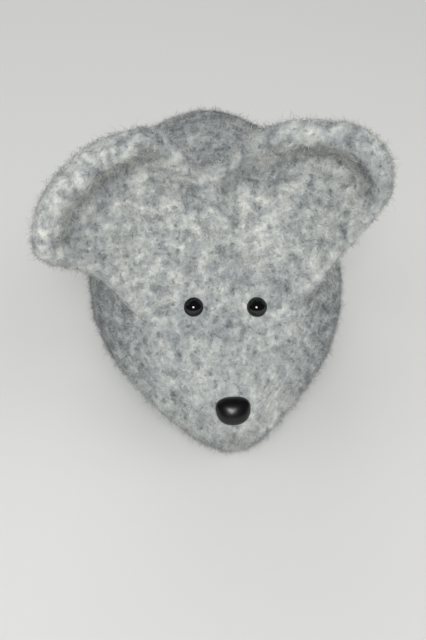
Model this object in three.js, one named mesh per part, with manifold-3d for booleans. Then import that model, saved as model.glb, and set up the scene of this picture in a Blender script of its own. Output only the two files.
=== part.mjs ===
// Catnip mouse: a fulled wool mouse with a stuffed body, two ears that flop and a catnip sachet inside.
// Millimetres, +Z up. The nose points to -Y and the mouse's own left is +X.
// The flat belly lies in the plane z = 0.
import * as THREE from 'three';
import { mergeVertices } from 'three/addons/utils/BufferGeometryUtils.js';
import Module from 'manifold-3d';

const wasm = await Module();
wasm.setup();

// Body cover
const LENGTH = 117;
const WIDTH = 74;
const HEIGHT = 61;
const WALL = 4;
const BELLY_CUT = 0.5;
const WIDEST_AT = 0.436 * LENGTH;
const TALLEST_AT = 0.654 * LENGTH;
const NOSE_TIP_HEIGHT = 8.6;
const RUMP_TIP_HEIGHT = 20;
const SNOUT_LENGTH = 8.3;
const SNOUT_RISE = 6.7;
const SNOUT_HALF = 4;
const CHIN_LENGTH = 6.5;
const RUMP_TUCK = 28;
const FACE_POINTEDNESS = 0.98;
const FACE_SLOPE = 1.2;
const RUMP_FULLNESS = 2.3;
const BELLY_FLATNESS = 0.65;
const WIDEST_SHARE = 0.45;

// Room between pieces that touch
const GAP = 0.3;

// Eyes: a shiny dome on a ribbed shank, held inside by a push-on washer
const EYE_RADIUS = 2.5;
const EYE_DOME = 2.3;
const LEFT_EYE_BACK = 0.207 * LENGTH;
const RIGHT_EYE_BACK = 0.2135 * LENGTH;
const EYE_SPREAD = 0.116 * WIDTH;
const EYE_SHANK_RADIUS = 1.1;
const EYE_SHANK_LENGTH = 8;
const EYE_WASHER_RADIUS = 3.8;

// Nose: an oval dome made the same way
const NOSE_RADIUS = 3.9;
const NOSE_OVAL = 1.2;
const NOSE_DOME = 2.6;
const NOSE_BACK = 3;
const NOSE_SHANK_RADIUS = 1.4;
const NOSE_SHANK_LENGTH = 9;
const NOSE_WASHER_RADIUS = 4.4;

const BUTTON_SINK = 0.7;
const FELT_GRIP = 2.4;
const WASHER_THICKNESS = 1.2;
const RIB_HEIGHT = 0.25;
const RIBS = 3;
const RIB_FOOT = 0.4;
const DOME_EDGE = 0.35;
const DOME_CHAMFER = 0.15;

// Ears: cupped felt. Each edge is as it was cut by hand, given as along and up from the middle of the ear's root.
const LEFT_EAR_EDGE = [
  [-11, -1], [-23, 18], [-20.5, 34], [-8, 45], [5, 46.8], [15, 37.5], [14.6, 20], [11, -1],
];
const RIGHT_EAR_EDGE = [
  [-11, -1], [-19.5, 20], [-17.5, 36.5], [-2, 45.5], [14, 43.5], [26, 33], [19, 17], [11, -1],
];
const EAR_THICKNESS = 4.6;
const EAR_CUP = 6.5;
const EAR_CURL = 4.5;
const EAR_CURL_FROM = 0.62;
const EAR_FREE_FROM = 0.1;
const EAR_FREE_TO = 0.6;
const EAR_MIDDLE = 24;
const EAR_LEAN = 10;
const EAR_ROOT_INNER = [0.046 * WIDTH, 0.325 * LENGTH];
const EAR_ROOT_OUTER = [0.262 * WIDTH, 0.2624 * LENGTH];
const EAR_ROOT_RAISE = 1.4;
const EAR_BEAD_RADIUS = 2.5;
const EAR_BEAD_TRIM = 1.6;
const EAR_BACK_SWING = 20;
const EAR_FORWARD_SWING = 25;
const EAR_APART = 0.5;
const EAR_CLEAR = 0.8;

// Yarn that sews each ear on, and the yarn of the closed seam at the rump
const YARN_RADIUS = 0.7;
const YARN_BEND = 2.6;
const YARN_TAIL = 3;
const YARN_DIVE = WALL + YARN_TAIL;
const KNOT_RADIUS = 1.5;
const SEAM_BELOW = 8;
const SEAM_ABOVE = 14;
const SEAM_LOW = RUMP_TIP_HEIGHT - SEAM_BELOW;
const SEAM_HIGH = RUMP_TIP_HEIGHT + SEAM_ABOVE;
const SEAM_END = 1;
const SEAM_OPENING = 1;
const SEAM_PROUD = 0.6;
const STITCHES = 6;

// Sachet with dried catnip, its neck tied with string
const SACHET_RADIUS = 12;
const SACHET_LENGTH = 31;
const SACHET_CLOTH = 0.8;
const SACHET_NECK = 3.2;
const SACHET_NECK_LENGTH = 5;
const SACHET_FRILL = 6;
const SACHET_FRILL_LENGTH = 4;
const SACHET_CLOSED = 0.86;
const SACHET_PLUMPNESS = 0.8;
const SACHET_BACK = 0.513 * LENGTH;
const SACHET_UP = 0.443 * HEIGHT;
const TIE_RADIUS = 0.5;
const TIE_PITCH = 1.5;
const TIE_TURNS = 2;
const TIE_SLACK = 0.15;

// Facets
const BODY_RINGS = 34;
const BODY_SIDES = 36;
const INSIDE_RINGS = 20;
const INSIDE_SIDES = 24;
const EAR_COLUMNS = 30;
const EAR_ROWS = 6;
const RIM_STEPS = 4;
const ROUND = 16;
const YARN_SIDES = 6;
const YARN_STEPS = 24;
const STITCH_STEPS = 12;
const TIE_STEPS = 14;
const DOME_STEPS = 6;
const SACHET_STEPS = 7;

const BIG = 4 * LENGTH;
const radians = THREE.MathUtils.degToRad;
const vec = (x, y, z) => new THREE.Vector3(x, y, z);

function solid(geometry) {
  const plain = geometry.clone();
  plain.deleteAttribute('normal');
  plain.deleteAttribute('uv');
  const merged = mergeVertices(plain, 1e-4);
  return new wasm.Manifold(new wasm.Mesh({
    numProp: 3,
    vertProperties: new Float32Array(merged.attributes.position.array),
    triVerts: new Uint32Array(merged.index.array),
  }));
}

function mesh(name, body, look) {
  const made = body.getMesh();
  const geometry = new THREE.BufferGeometry();
  geometry.setAttribute('position', new THREE.BufferAttribute(new Float32Array(made.vertProperties), 3));
  geometry.setIndex(new THREE.BufferAttribute(new Uint32Array(made.triVerts), 1));
  geometry.computeVertexNormals();
  const piece = new THREE.Mesh(geometry, new THREE.MeshStandardMaterial(look));
  piece.name = name;
  return piece;
}

function box(low, high) {
  const size = high.clone().sub(low);
  const middle = high.clone().add(low).multiplyScalar(0.5);
  return solid(new THREE.BoxGeometry(size.x, size.y, size.z).translate(middle.x, middle.y, middle.z));
}

// Rings of points, the first and last a single point, closed into one skin
function skin(rings, flip) {
  const positions = [];
  const starts = rings.map((ring) => {
    const start = positions.length / 3;
    ring.forEach((p) => positions.push(p.x, p.y, p.z));
    return start;
  });
  const index = [];
  const face = (a, b, c) => index.push(a, flip ? c : b, flip ? b : c);
  for (let i = 0; i + 1 < rings.length; i += 1) {
    const [here, next] = [rings[i].length, rings[i + 1].length];
    const count = Math.max(here, next);
    for (let j = 0; j < count; j += 1) {
      const k = (j + 1) % count;
      const a = starts[i] + (j % here);
      const b = starts[i] + (k % here);
      const c = starts[i + 1] + (j % next);
      const d = starts[i + 1] + (k % next);
      if (next > 1) face(a, c, d);
      if (here > 1) face(a, next > 1 ? d : c, b);
    }
  }
  const geometry = new THREE.BufferGeometry();
  geometry.setAttribute('position', new THREE.BufferAttribute(new Float32Array(positions), 3));
  geometry.setIndex(index);
  return geometry;
}

// The mouse's outer form, or one that lies the inset inside it.
// Each cross-section has a rounded back and a flatter belly. The muzzle is round all over.
function form(inset) {
  const length = LENGTH - 2 * inset;
  const wideAt = WIDEST_AT - inset;
  const tallAt = TALLEST_AT - inset;
  const height = HEIGHT - 2 * inset;
  const noseTip = NOSE_TIP_HEIGHT - inset;
  const rumpTip = RUMP_TIP_HEIGHT - inset;
  const dip = inset > 0 ? 0 : BELLY_CUT;
  const round = (x, power) => Math.sqrt(Math.max(0, 1 - Math.max(0, x) ** power));
  const section = (back) => {
    const side = WIDTH / 2 - inset;
    const snout = round(1 - Math.min(1, back / SNOUT_LENGTH), 2);
    const cheek = (1 - Math.max(0, 1 - back / wideAt) ** 2) ** FACE_POINTEDNESS;
    const half = back < wideAt
      ? SNOUT_HALF * snout + (side - SNOUT_HALF) * cheek
      : side * round((back - wideAt) / (length - wideAt), RUMP_FULLNESS);
    const climb = Math.sin((Math.PI / 2) * Math.min(1, back / tallAt)) ** FACE_SLOPE;
    const top = back < tallAt
      ? noseTip + SNOUT_RISE * snout + (height - noseTip - SNOUT_RISE) * climb
      : rumpTip + (height - rumpTip) * round((back - tallAt) / (length - tallAt), RUMP_FULLNESS);
    const chin = round(1 - Math.min(1, back / CHIN_LENGTH), 2);
    const tuck = 1 - round((back - length + RUMP_TUCK) / RUMP_TUCK, RUMP_FULLNESS);
    const bottom = noseTip - (noseTip + dip) * chin + (rumpTip + dip) * tuck;
    return { half, top, bottom, widest: bottom + WIDEST_SHARE * (top - bottom) };
  };
  const point = (back, angle) => {
    const { half, top, bottom, widest } = section(back);
    const [c, s] = [Math.cos(angle), Math.sin(angle)];
    const flatter = (BELLY_FLATNESS - 1) * THREE.MathUtils.smoothstep(back, 0, wideAt);
    const across = Math.sign(c) * Math.abs(c) ** (s < 0 ? 1 + flatter : 1);
    const up = widest + s * (s > 0 ? top - widest : widest - bottom);
    return vec(half * across, back + inset - LENGTH / 2, up + inset);
  };
  const geometry = (rings, sides) => {
    const list = [[point(0, 0)]];
    for (let i = 1; i < rings; i += 1) {
      const back = (length / 2) * (1 - Math.cos((Math.PI * i) / rings));
      list.push(Array.from({ length: sides }, (_, j) => point(back, (2 * Math.PI * j) / sides)));
    }
    list.push([point(length, 0)]);
    return skin(list, false);
  };
  return { section, point, geometry, length };
}

const outside = form(0);

// A place on the cover's upper side and the direction that points straight out of it there
function onCover(spread, back) {
  const angle = Math.acos(spread / outside.section(back).half);
  const step = 0.05;
  const along = outside.point(back + step, angle).sub(outside.point(back - step, angle));
  const around = outside.point(back, angle + step).sub(outside.point(back, angle - step));
  return { at: outside.point(back, angle), out: along.cross(around).normalize() };
}

function mirrored(v) {
  return vec(-v.x, v.y, v.z);
}

// Turns a shape made round +Y so that +Y points out of the cover at the place
function placed(geometry, place) {
  const turn = new THREE.Quaternion().setFromUnitVectors(vec(0, 1, 0), place.out);
  return geometry.clone().applyMatrix4(new THREE.Matrix4().compose(place.at, turn, vec(1, 1, 1)));
}

function lathe(points) {
  return new THREE.LatheGeometry(points.map(([r, y]) => new THREE.Vector2(r, y)), ROUND);
}

function rod(radius, low, high, oval) {
  const shape = new THREE.CylinderGeometry(radius, radius, high - low, ROUND);
  return shape.translate(0, (low + high) / 2, 0).scale(oval, 1, 1);
}

// Widens the dome sideways into an oval. The shank stays round.
function widened(geometry, shank, oval) {
  const p = geometry.attributes.position;
  for (let i = 0; i < p.count; i += 1) {
    if (Math.hypot(p.getX(i), p.getZ(i)) > shank + GAP) p.setX(i, p.getX(i) * oval);
  }
  return geometry;
}

// A button with a domed front and a ribbed shank, its washer,
// and the room that they take in the cover and the stuffing
function button(radius, dome, oval, shank, length, washer) {
  const back = -BUTTON_SINK;
  const end = back - length;
  const grip = back - FELT_GRIP;
  const points = [[0, end], [shank - RIB_HEIGHT, end]];
  const ribStep = (length - FELT_GRIP - WASHER_THICKNESS) / (RIBS + 1);
  for (let i = 0; i < RIBS; i += 1) {
    const foot = end + ribStep * (i + RIB_FOOT);
    points.push([shank, foot], [shank - RIB_HEIGHT, foot + ribStep * (1 - RIB_FOOT)]);
  }
  points.push([shank - RIB_HEIGHT, back], [radius - DOME_CHAMFER, back]);
  for (let i = 0; i <= DOME_STEPS; i += 1) {
    const a = (Math.PI / 2) * (i / DOME_STEPS);
    const up = back + DOME_EDGE + (dome - DOME_EDGE) * Math.sin(a);
    points.push([i === DOME_STEPS ? 0 : radius * Math.cos(a), up]);
  }
  const hole = shank + GAP;
  const ring = [[hole, grip - WASHER_THICKNESS], [washer, grip - WASHER_THICKNESS], [washer, grip],
    [hole, grip], [hole, grip - WASHER_THICKNESS]];
  const inCover = [rod(radius + GAP, back - GAP, dome + BUTTON_SINK, oval), rod(hole, end, back, 1),
    rod(washer + GAP, end - GAP, grip + GAP, 1)];
  const inStuffing = rod(washer + GAP, end - GAP, grip + GAP, 1);
  return { front: widened(lathe(points), shank, oval), ring: lathe(ring), inCover, inStuffing };
}

const eye = button(EYE_RADIUS, EYE_DOME, 1, EYE_SHANK_RADIUS, EYE_SHANK_LENGTH, EYE_WASHER_RADIUS);
const nose = button(
  NOSE_RADIUS, NOSE_DOME, NOSE_OVAL, NOSE_SHANK_RADIUS, NOSE_SHANK_LENGTH, NOSE_WASHER_RADIUS,
);
const leftEyeAt = onCover(EYE_SPREAD, LEFT_EYE_BACK);
const rightSpot = onCover(EYE_SPREAD, RIGHT_EYE_BACK);
const rightEyeAt = { at: mirrored(rightSpot.at), out: mirrored(rightSpot.out) };
const noseAt = onCover(0, NOSE_BACK);
const buttons = [[eye, leftEyeAt], [eye, rightEyeAt], [nose, noseAt]];

// A tube of yarn along a path
function yarn(path, radius, steps) {
  const circle = new THREE.Shape();
  circle.absarc(0, 0, radius, 0, 2 * Math.PI, false);
  const curveSegments = YARN_SIDES / 2;
  return new THREE.ExtrudeGeometry(circle, { steps, curveSegments, extrudePath: path, bevelEnabled: false });
}

// The root line of an ear, from the middle of the head down to its side, and the ear's own directions
function root(side) {
  const inner = onCover(...EAR_ROOT_INNER);
  const outer = onCover(...EAR_ROOT_OUTER);
  [inner, outer].forEach((end) => {
    if (side < 0) {
      end.at = mirrored(end.at);
      end.out = mirrored(end.out);
    }
    end.at.addScaledVector(end.out, EAR_ROOT_RAISE);
  });
  const along = outer.at.clone().sub(inner.at).normalize();
  const middle = outer.at.clone().add(inner.at).multiplyScalar(0.5);
  const upright = vec(0, 0, 1).addScaledVector(along, -along.z).normalize();
  const facing = along.clone().cross(upright).multiplyScalar(side);
  const lean = radians(EAR_LEAN);
  const up = upright.clone().multiplyScalar(Math.cos(lean)).addScaledVector(facing, -Math.sin(lean));
  const front = facing.clone().multiplyScalar(Math.cos(lean)).addScaledVector(upright, Math.sin(lean));
  const half = inner.at.distanceTo(outer.at) / 2;
  const hinge = along.clone().multiplyScalar(side);
  return { inner, outer, along, middle, up, front, half, hinge, bead: half - EAR_BEAD_TRIM };
}

// A cupped sheet of felt whose rim curls forward, with a rounded edge
function earSheet(edge, at, side) {
  const outline = new THREE.CatmullRomCurve3(edge.map(([x, y]) => vec(x, y, 0)), true, 'centripetal');
  const rim = outline.getSpacedPoints(EAR_COLUMNS).slice(0, EAR_COLUMNS);
  const top = Math.max(...edge.map(([, y]) => y));
  const half = EAR_THICKNESS / 2;
  const columns = rim.map((p) => {
    const way = vec(p.x, p.y - EAR_MIDDLE, 0);
    const reach = way.length() - half;
    way.normalize();
    const free = THREE.MathUtils.smoothstep(p.y / top, EAR_FREE_FROM, EAR_FREE_TO);
    const curl = (t) => Math.max(0, (t - EAR_CURL_FROM) / (1 - EAR_CURL_FROM));
    const depth = (t) => EAR_CUP * (t * t - 1) + EAR_CURL * free * curl(t) ** 2;
    const spot = (t, turn) => {
      const slope = (2 * EAR_CUP * t + (2 * EAR_CURL * free * curl(t)) / (1 - EAR_CURL_FROM)) / reach;
      const size = Math.hypot(1, slope);
      const [c, s] = [Math.cos(turn) * half, Math.sin(turn) * half];
      const out = t * reach + (c - s * slope) / size;
      return vec(way.x * out, EAR_MIDDLE + way.y * out, depth(t) + (s + c * slope) / size);
    };
    const list = [];
    for (let i = 1; i <= EAR_ROWS; i += 1) list.push(spot(i / EAR_ROWS, Math.PI / 2));
    for (let i = 1; i < RIM_STEPS; i += 1) list.push(spot(1, Math.PI / 2 - (Math.PI * i) / RIM_STEPS));
    for (let i = EAR_ROWS; i >= 1; i -= 1) list.push(spot(i / EAR_ROWS, -Math.PI / 2));
    return list;
  });
  const rings = columns[0].map((_, i) => columns.map((column) => column[i]));
  const all = [[vec(0, EAR_MIDDLE, half - EAR_CUP)], ...rings, [vec(0, EAR_MIDDLE, -half - EAR_CUP)]];
  const turn = new THREE.Matrix4().makeBasis(at.along, at.up, at.front).setPosition(at.middle);
  return skin(all, side > 0).applyMatrix4(turn);
}

// A shape swung round the ear's root, a positive angle forward
function turned(geometry, at, degrees) {
  const shift = new THREE.Matrix4().makeTranslation(at.middle.x, at.middle.y, at.middle.z);
  const spin = new THREE.Matrix4().makeRotationAxis(at.hinge, radians(degrees));
  const back = shift.clone().invert();
  return geometry.clone().applyMatrix4(shift.multiply(spin).multiply(back));
}

// A rod along the ear's root, centred the shift away from its middle
function alongRoot(at, radius, half, shift = 0) {
  const shape = new THREE.CylinderGeometry(radius, radius, half * 2, ROUND);
  return placed(shape, { at: at.middle.clone().addScaledVector(at.along, shift), out: at.along });
}

// The yarn comes up through the cover at one end of the ear's root, runs through the bead and goes down again
function rootYarn(at) {
  const path = new THREE.CurvePath();
  const ends = [[at.inner, -1], [at.outer, 1]].map(([end, way]) => {
    const straight = at.middle.clone().addScaledVector(at.along, way * (at.bead + GAP));
    const corner = straight.clone().addScaledVector(at.along, way * YARN_BEND);
    const down = corner.clone().addScaledVector(end.out, -YARN_BEND);
    const deep = corner.clone().addScaledVector(end.out, -YARN_DIVE);
    return { straight, corner, down, deep };
  });
  const [a, b] = ends;
  path.add(new THREE.LineCurve3(a.deep, a.down));
  path.add(new THREE.QuadraticBezierCurve3(a.down, a.corner, a.straight));
  path.add(new THREE.LineCurve3(a.straight, b.straight));
  path.add(new THREE.QuadraticBezierCurve3(b.straight, b.corner, b.down));
  path.add(new THREE.LineCurve3(b.down, b.deep));
  return { path, knots: [a.deep, b.deep] };
}

const knot = (at, radius) => solid(new THREE.SphereGeometry(radius, 8, 6).translate(at.x, at.y, at.z));
const swings = [-EAR_BACK_SWING, 0, EAR_FORWARD_SWING];
const headRoom = form(-EAR_CLEAR).geometry(INSIDE_RINGS, INSIDE_SIDES);

function makeEar(edge, side) {
  const at = root(side);
  const thread = rootYarn(at);
  const threadRoom = solid(yarn(thread.path, YARN_RADIUS + GAP, YARN_STEPS));
  const otherSide = new THREE.BoxGeometry(BIG, BIG, BIG).translate(-side * (BIG / 2 - EAR_APART), 0, 0);
  let flap = solid(earSheet(edge, at, side));
  swings.forEach((degrees) => [headRoom, otherSide].forEach((room) => {
    flap = flap.subtract(solid(turned(room, at, -degrees)));
  }));
  const bead = solid(alongRoot(at, EAR_BEAD_RADIUS, at.bead));
  const bore = solid(alongRoot(at, YARN_RADIUS + GAP, at.half + YARN_BEND));
  const bend = YARN_BEND + YARN_RADIUS;
  const notch = (way) => solid(alongRoot(at, EAR_BEAD_RADIUS + GAP, bend, way * (at.bead + bend)));
  const thin = solid(yarn(thread.path, YARN_RADIUS, YARN_STEPS));
  return {
    at,
    ear: flap.subtract(notch(-1)).subtract(notch(1)).add(bead).subtract(bore),
    yarn: thread.knots.reduce((sum, p) => sum.add(knot(p, KNOT_RADIUS)), thin),
    inCover: [solid(alongRoot(at, EAR_BEAD_RADIUS + GAP, at.bead + GAP)), threadRoom],
    inStuffing: [threadRoom, ...thread.knots.map((p) => knot(p, KNOT_RADIUS + GAP))],
  };
}

const leftEar = makeEar(LEFT_EAR_EDGE, 1);
const rightEar = makeEar(RIGHT_EAR_EDGE, -1);

// The seam at the rump: a slit in the cover, whipped shut by one yarn that goes round and round
// through both lips
class SeamYarn extends THREE.Curve {
  constructor(spare) {
    super();
    const midWall = form(WALL / 2);
    const heights = [SEAM_LOW - spare, RUMP_TIP_HEIGHT, SEAM_HIGH + spare];
    const reach = (height) => {
      let [near, far] = [midWall.length / 2, midWall.length];
      for (let i = 0; i < 40; i += 1) {
        const back = (near + far) / 2;
        const { top, bottom } = midWall.section(back);
        const inside = height - WALL / 2 < top && height - WALL / 2 > bottom;
        [near, far] = inside ? [back, far] : [near, back];
      }
      return near + WALL / 2 - LENGTH / 2;
    };
    this.line = new THREE.CatmullRomCurve3(heights.map((height) => vec(0, reach(height), height)));
  }

  getPoint(t) {
    const at = this.line.getPoint(t);
    const way = this.line.getTangent(t);
    const out = vec(1, 0, 0).cross(way).negate();
    const turn = 2 * Math.PI * (STITCHES * t + 0.5);
    const radius = WALL / 2 + SEAM_PROUD;
    return at.addScaledVector(out, radius * Math.cos(turn)).add(vec(radius * Math.sin(turn), 0, 0));
  }
}

const seamYarn = new SeamYarn(0);
const seamSteps = STITCHES * STITCH_STEPS;
const seamMiddle = seamYarn.line.getPoint(0.5);
const slit = box(
  vec(-SEAM_OPENING / 2, seamMiddle.y - 2 * WALL, SEAM_LOW + SEAM_END),
  vec(SEAM_OPENING / 2, LENGTH, SEAM_HIGH - SEAM_END),
);
const seamRoom = yarn(new SeamYarn(WALL / 2).line, WALL + SEAM_PROUD, STITCHES);

// Sachet, made round +Y and then moved into the middle of the stuffing
const sachetMiddle = vec(0, SACHET_BACK - LENGTH / 2, SACHET_UP);
const neckFrom = SACHET_LENGTH / 2;
const neckTo = neckFrom + SACHET_NECK_LENGTH;
const frillTo = neckTo + SACHET_FRILL_LENGTH;

// The bag's profile at a distance inside its outer face, from its closed end up to the foot of the neck
function bag(inset) {
  const half = SACHET_LENGTH / 2 - inset;
  const list = [];
  for (let i = 0; i <= SACHET_STEPS; i += 1) {
    const a = (Math.PI * SACHET_CLOSED * i) / SACHET_STEPS;
    list.push([(SACHET_RADIUS - inset) * Math.sin(a) ** SACHET_PLUMPNESS, -half * Math.cos(a)]);
  }
  return list;
}

const inNeck = SACHET_NECK - SACHET_CLOTH;
const inFrill = SACHET_FRILL - SACHET_CLOTH;
const frillRoom = SACHET_FRILL + GAP;
const bagOutside = [...bag(0), [SACHET_NECK, neckFrom], [SACHET_NECK, neckTo], [SACHET_FRILL, frillTo]];
const bagInside = [...bag(SACHET_CLOTH), [inNeck, neckFrom], [inNeck, neckTo], [inFrill, frillTo]];
const fill = bag(SACHET_CLOTH + GAP);
const sachetShapes = {
  pouch: lathe([...bagOutside, ...bagInside.reverse()]),
  catnip: lathe([...fill, [0, fill[fill.length - 1][1]]]),
  room: lathe([...bag(-GAP), [frillRoom, neckFrom], [frillRoom, frillTo + GAP], [0, frillTo + GAP]]),
};

// The string goes round and round the sachet's neck
class Winding extends THREE.Curve {
  getPoint(t) {
    const turn = 2 * Math.PI * TIE_TURNS * t;
    const radius = SACHET_NECK + GAP + TIE_RADIUS + TIE_SLACK;
    const rise = TIE_PITCH * TIE_TURNS * (t - 0.5);
    return vec(radius * Math.cos(turn), (neckFrom + neckTo) / 2 + rise, radius * Math.sin(turn));
  }
}

const tie = new Winding();
const tieSteps = TIE_TURNS * TIE_STEPS;
const inSachet = (geometry) => solid(geometry.translate(sachetMiddle.x, sachetMiddle.y, sachetMiddle.z));

// The least gap between a wound tube and itself, measured between points at least half a turn apart
function leastGap(curve, radius, turns) {
  const count = 400;
  const points = curve.getPoints(count);
  const apart = Math.ceil(count / turns / 2);
  let least = Infinity;
  for (let i = 0; i < points.length; i += 1) {
    for (let j = i + apart; j < points.length; j += 1) least = Math.min(least, points[i].distanceTo(points[j]));
  }
  return least - 2 * radius;
}

// Cover: hollow, flat under the belly, let in for the buttons, the ears' roots and the seam
let cover = solid(outside.geometry(BODY_RINGS, BODY_SIDES))
  .subtract(box(vec(-BIG, -BIG, -BIG), vec(BIG, BIG, 0)))
  .subtract(solid(form(WALL).geometry(INSIDE_RINGS, INSIDE_SIDES)));
let stuffing = solid(form(WALL + GAP).geometry(INSIDE_RINGS, INSIDE_SIDES));
buttons.forEach(([kind, place]) => {
  kind.inCover.forEach((room) => { cover = cover.subtract(solid(placed(room, place))); });
  stuffing = stuffing.subtract(solid(placed(kind.inStuffing, place)));
});
[leftEar, rightEar].forEach((side) => {
  side.inCover.forEach((room) => { cover = cover.subtract(room); });
  side.inStuffing.forEach((room) => { stuffing = stuffing.subtract(room); });
});
cover = cover.subtract(slit).subtract(solid(yarn(seamYarn, YARN_RADIUS + GAP, seamSteps)));
stuffing = stuffing.subtract(solid(seamRoom)).subtract(inSachet(sachetShapes.room));
const cut = sachetMiddle.y;
const frontStuffing = stuffing.subtract(box(vec(-BIG, cut - GAP / 2, -BIG), vec(BIG, BIG, BIG)));
const rearStuffing = stuffing.subtract(box(vec(-BIG, -BIG, -BIG), vec(BIG, cut + GAP / 2, BIG)));

const felt = { color: 0xa0a5a1, roughness: 0.95, metalness: 0 };
const wool = { color: 0x8d918d, roughness: 0.95, metalness: 0 };
const black = { color: 0x0b0b0c, roughness: 0.12, metalness: 0 };
const satin = { color: 0x101012, roughness: 0.35, metalness: 0 };
const clear = { color: 0xd9dad6, roughness: 0.4, metalness: 0 };
const fluff = { color: 0xf1f0ea, roughness: 1, metalness: 0 };
const muslin = { color: 0xe2d9c3, roughness: 0.95, metalness: 0 };
const leaf = { color: 0x6d7848, roughness: 1, metalness: 0 };
const string = { color: 0xd8ccb0, roughness: 0.9, metalness: 0 };

const mouse = new THREE.Group();
mouse.name = 'catnip_mouse';
mouse.add(
  mesh('body_cover', cover, felt),
  mesh('left_ear', leftEar.ear, felt),
  mesh('right_ear', rightEar.ear, felt),
  mesh('left_ear_yarn', leftEar.yarn, wool),
  mesh('right_ear_yarn', rightEar.yarn, wool),
  mesh('closing_stitches', solid(yarn(seamYarn, YARN_RADIUS, seamSteps)), wool),
  mesh('left_eye', solid(placed(eye.front, leftEyeAt)), black),
  mesh('right_eye', solid(placed(eye.front, rightEyeAt)), black),
  mesh('left_eye_washer', solid(placed(eye.ring, leftEyeAt)), clear),
  mesh('right_eye_washer', solid(placed(eye.ring, rightEyeAt)), clear),
  mesh('nose', solid(placed(nose.front, noseAt)), satin),
  mesh('nose_washer', solid(placed(nose.ring, noseAt)), clear),
  mesh('front_stuffing', frontStuffing, fluff),
  mesh('rear_stuffing', rearStuffing, fluff),
  mesh('catnip_pouch', inSachet(sachetShapes.pouch), muslin),
  mesh('catnip', inSachet(sachetShapes.catnip), leaf),
  mesh('pouch_tie', inSachet(yarn(tie, TIE_RADIUS, tieSteps)), string),
);

// Where the ears turn, and the room between the turns of each yarn
const metres = (v) => v.toArray().map((x) => Number((x / 1000).toFixed(6)));
const unit = (v) => v.toArray().map((x) => Number(x.toFixed(6)));
[['left_ear', leftEar], ['right_ear', rightEar]].forEach(([name, { at }]) => {
  console.log(`${name} turns at ${JSON.stringify(metres(at.middle))} m`);
  console.log(`${name} turns round ${JSON.stringify(unit(at.hinge))}`);
});
console.log(`closing_stitches least gap to itself ${leastGap(seamYarn, YARN_RADIUS, STITCHES).toFixed(2)} mm`);
console.log(`pouch_tie least gap to itself ${leastGap(tie, TIE_RADIUS, TIE_TURNS).toFixed(2)} mm`);

export default mouse;
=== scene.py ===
# %% [markdown]
# # A felted catnip mouse
# This lesson dresses a finished toy mouse: a stuffed bag of fulled grey wool, two cupped ears sewn to its
# forehead, two small black eyes and a satin nose. The solid model is loaded first and never moves. Every
# soft piece is a surface worked out with numpy in the same frame: the nose points to -Y, the belly lies on
# z = 0.

# %% Load the solid model
import itertools

import bpy
import numpy as np
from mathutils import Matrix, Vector


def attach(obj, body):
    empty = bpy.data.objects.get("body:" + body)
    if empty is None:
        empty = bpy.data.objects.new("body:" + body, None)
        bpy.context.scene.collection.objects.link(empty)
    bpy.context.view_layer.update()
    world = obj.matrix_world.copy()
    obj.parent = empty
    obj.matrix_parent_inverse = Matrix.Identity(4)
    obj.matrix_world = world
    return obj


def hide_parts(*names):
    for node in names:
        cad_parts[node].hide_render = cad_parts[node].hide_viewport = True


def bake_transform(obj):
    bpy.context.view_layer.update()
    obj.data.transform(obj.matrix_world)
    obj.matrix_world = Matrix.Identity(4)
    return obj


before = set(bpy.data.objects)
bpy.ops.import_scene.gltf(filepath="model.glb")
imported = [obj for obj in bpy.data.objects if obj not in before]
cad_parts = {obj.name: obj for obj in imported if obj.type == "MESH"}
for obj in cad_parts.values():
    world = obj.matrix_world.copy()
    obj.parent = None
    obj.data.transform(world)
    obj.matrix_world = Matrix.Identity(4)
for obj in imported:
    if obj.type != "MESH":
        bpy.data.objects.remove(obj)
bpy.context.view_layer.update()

MM = 0.001

# %% [markdown]
# ## Camera
# The mouse is seen from in front and above, a little from its own right. A lens of 56 mm from about 30 cm
# away keeps the strong perspective of a close view, so the nose looks near and the rump far. The angle
# could be set with a tracking constraint, but one direction worked out from two angles leaves nothing
# hidden.

# %% Camera
CAMERA_PLACE = np.array([-24.0, -249.1, 192.2])
CAMERA_HEIGHT, CAMERA_TURN = np.radians(37.0), np.radians(-5.5)
LENS, SENSOR = 56.25, 36.0
NEAREST_SEEN = 10.0


def looking(way):
    """The turn that points a camera or a lamp, which look along their own -Z, along the way."""
    return Vector(way).to_track_quat("-Z", "Y").to_euler()


camera_data = bpy.data.cameras.new("camera")
camera_data.lens = LENS
camera_data.sensor_width = SENSOR
camera_data.clip_start = NEAREST_SEEN * MM
camera = bpy.data.objects.new("camera", camera_data)
bpy.context.scene.collection.objects.link(camera)
view_back = np.array([
    np.sin(CAMERA_TURN) * np.cos(CAMERA_HEIGHT),
    -np.cos(CAMERA_TURN) * np.cos(CAMERA_HEIGHT),
    np.sin(CAMERA_HEIGHT),
])
camera.location = CAMERA_PLACE * MM
camera.rotation_euler = looking(-view_back)
bpy.context.scene.camera = camera
bpy.context.scene.view_settings.view_transform = "Standard"
print("camera at", [round(x, 3) for x in camera.location])

# %% [markdown]
# ## Helpers for surfaces
# Fulled wool is never smooth: its loops shrink into nubs of two or three millimetres. A Displace modifier
# could push a mesh about, but then the fibres that grow on it would not know where the surface went. So the
# nubs are a noise function that works on whole arrays of points, and the same arrays carry the fibres later.

# %% Noise
ASKEW = np.linalg.qr(np.array([[1, 2, 3], [-3, 1, 2], [2, -4, 3.0]]))[0]


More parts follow.
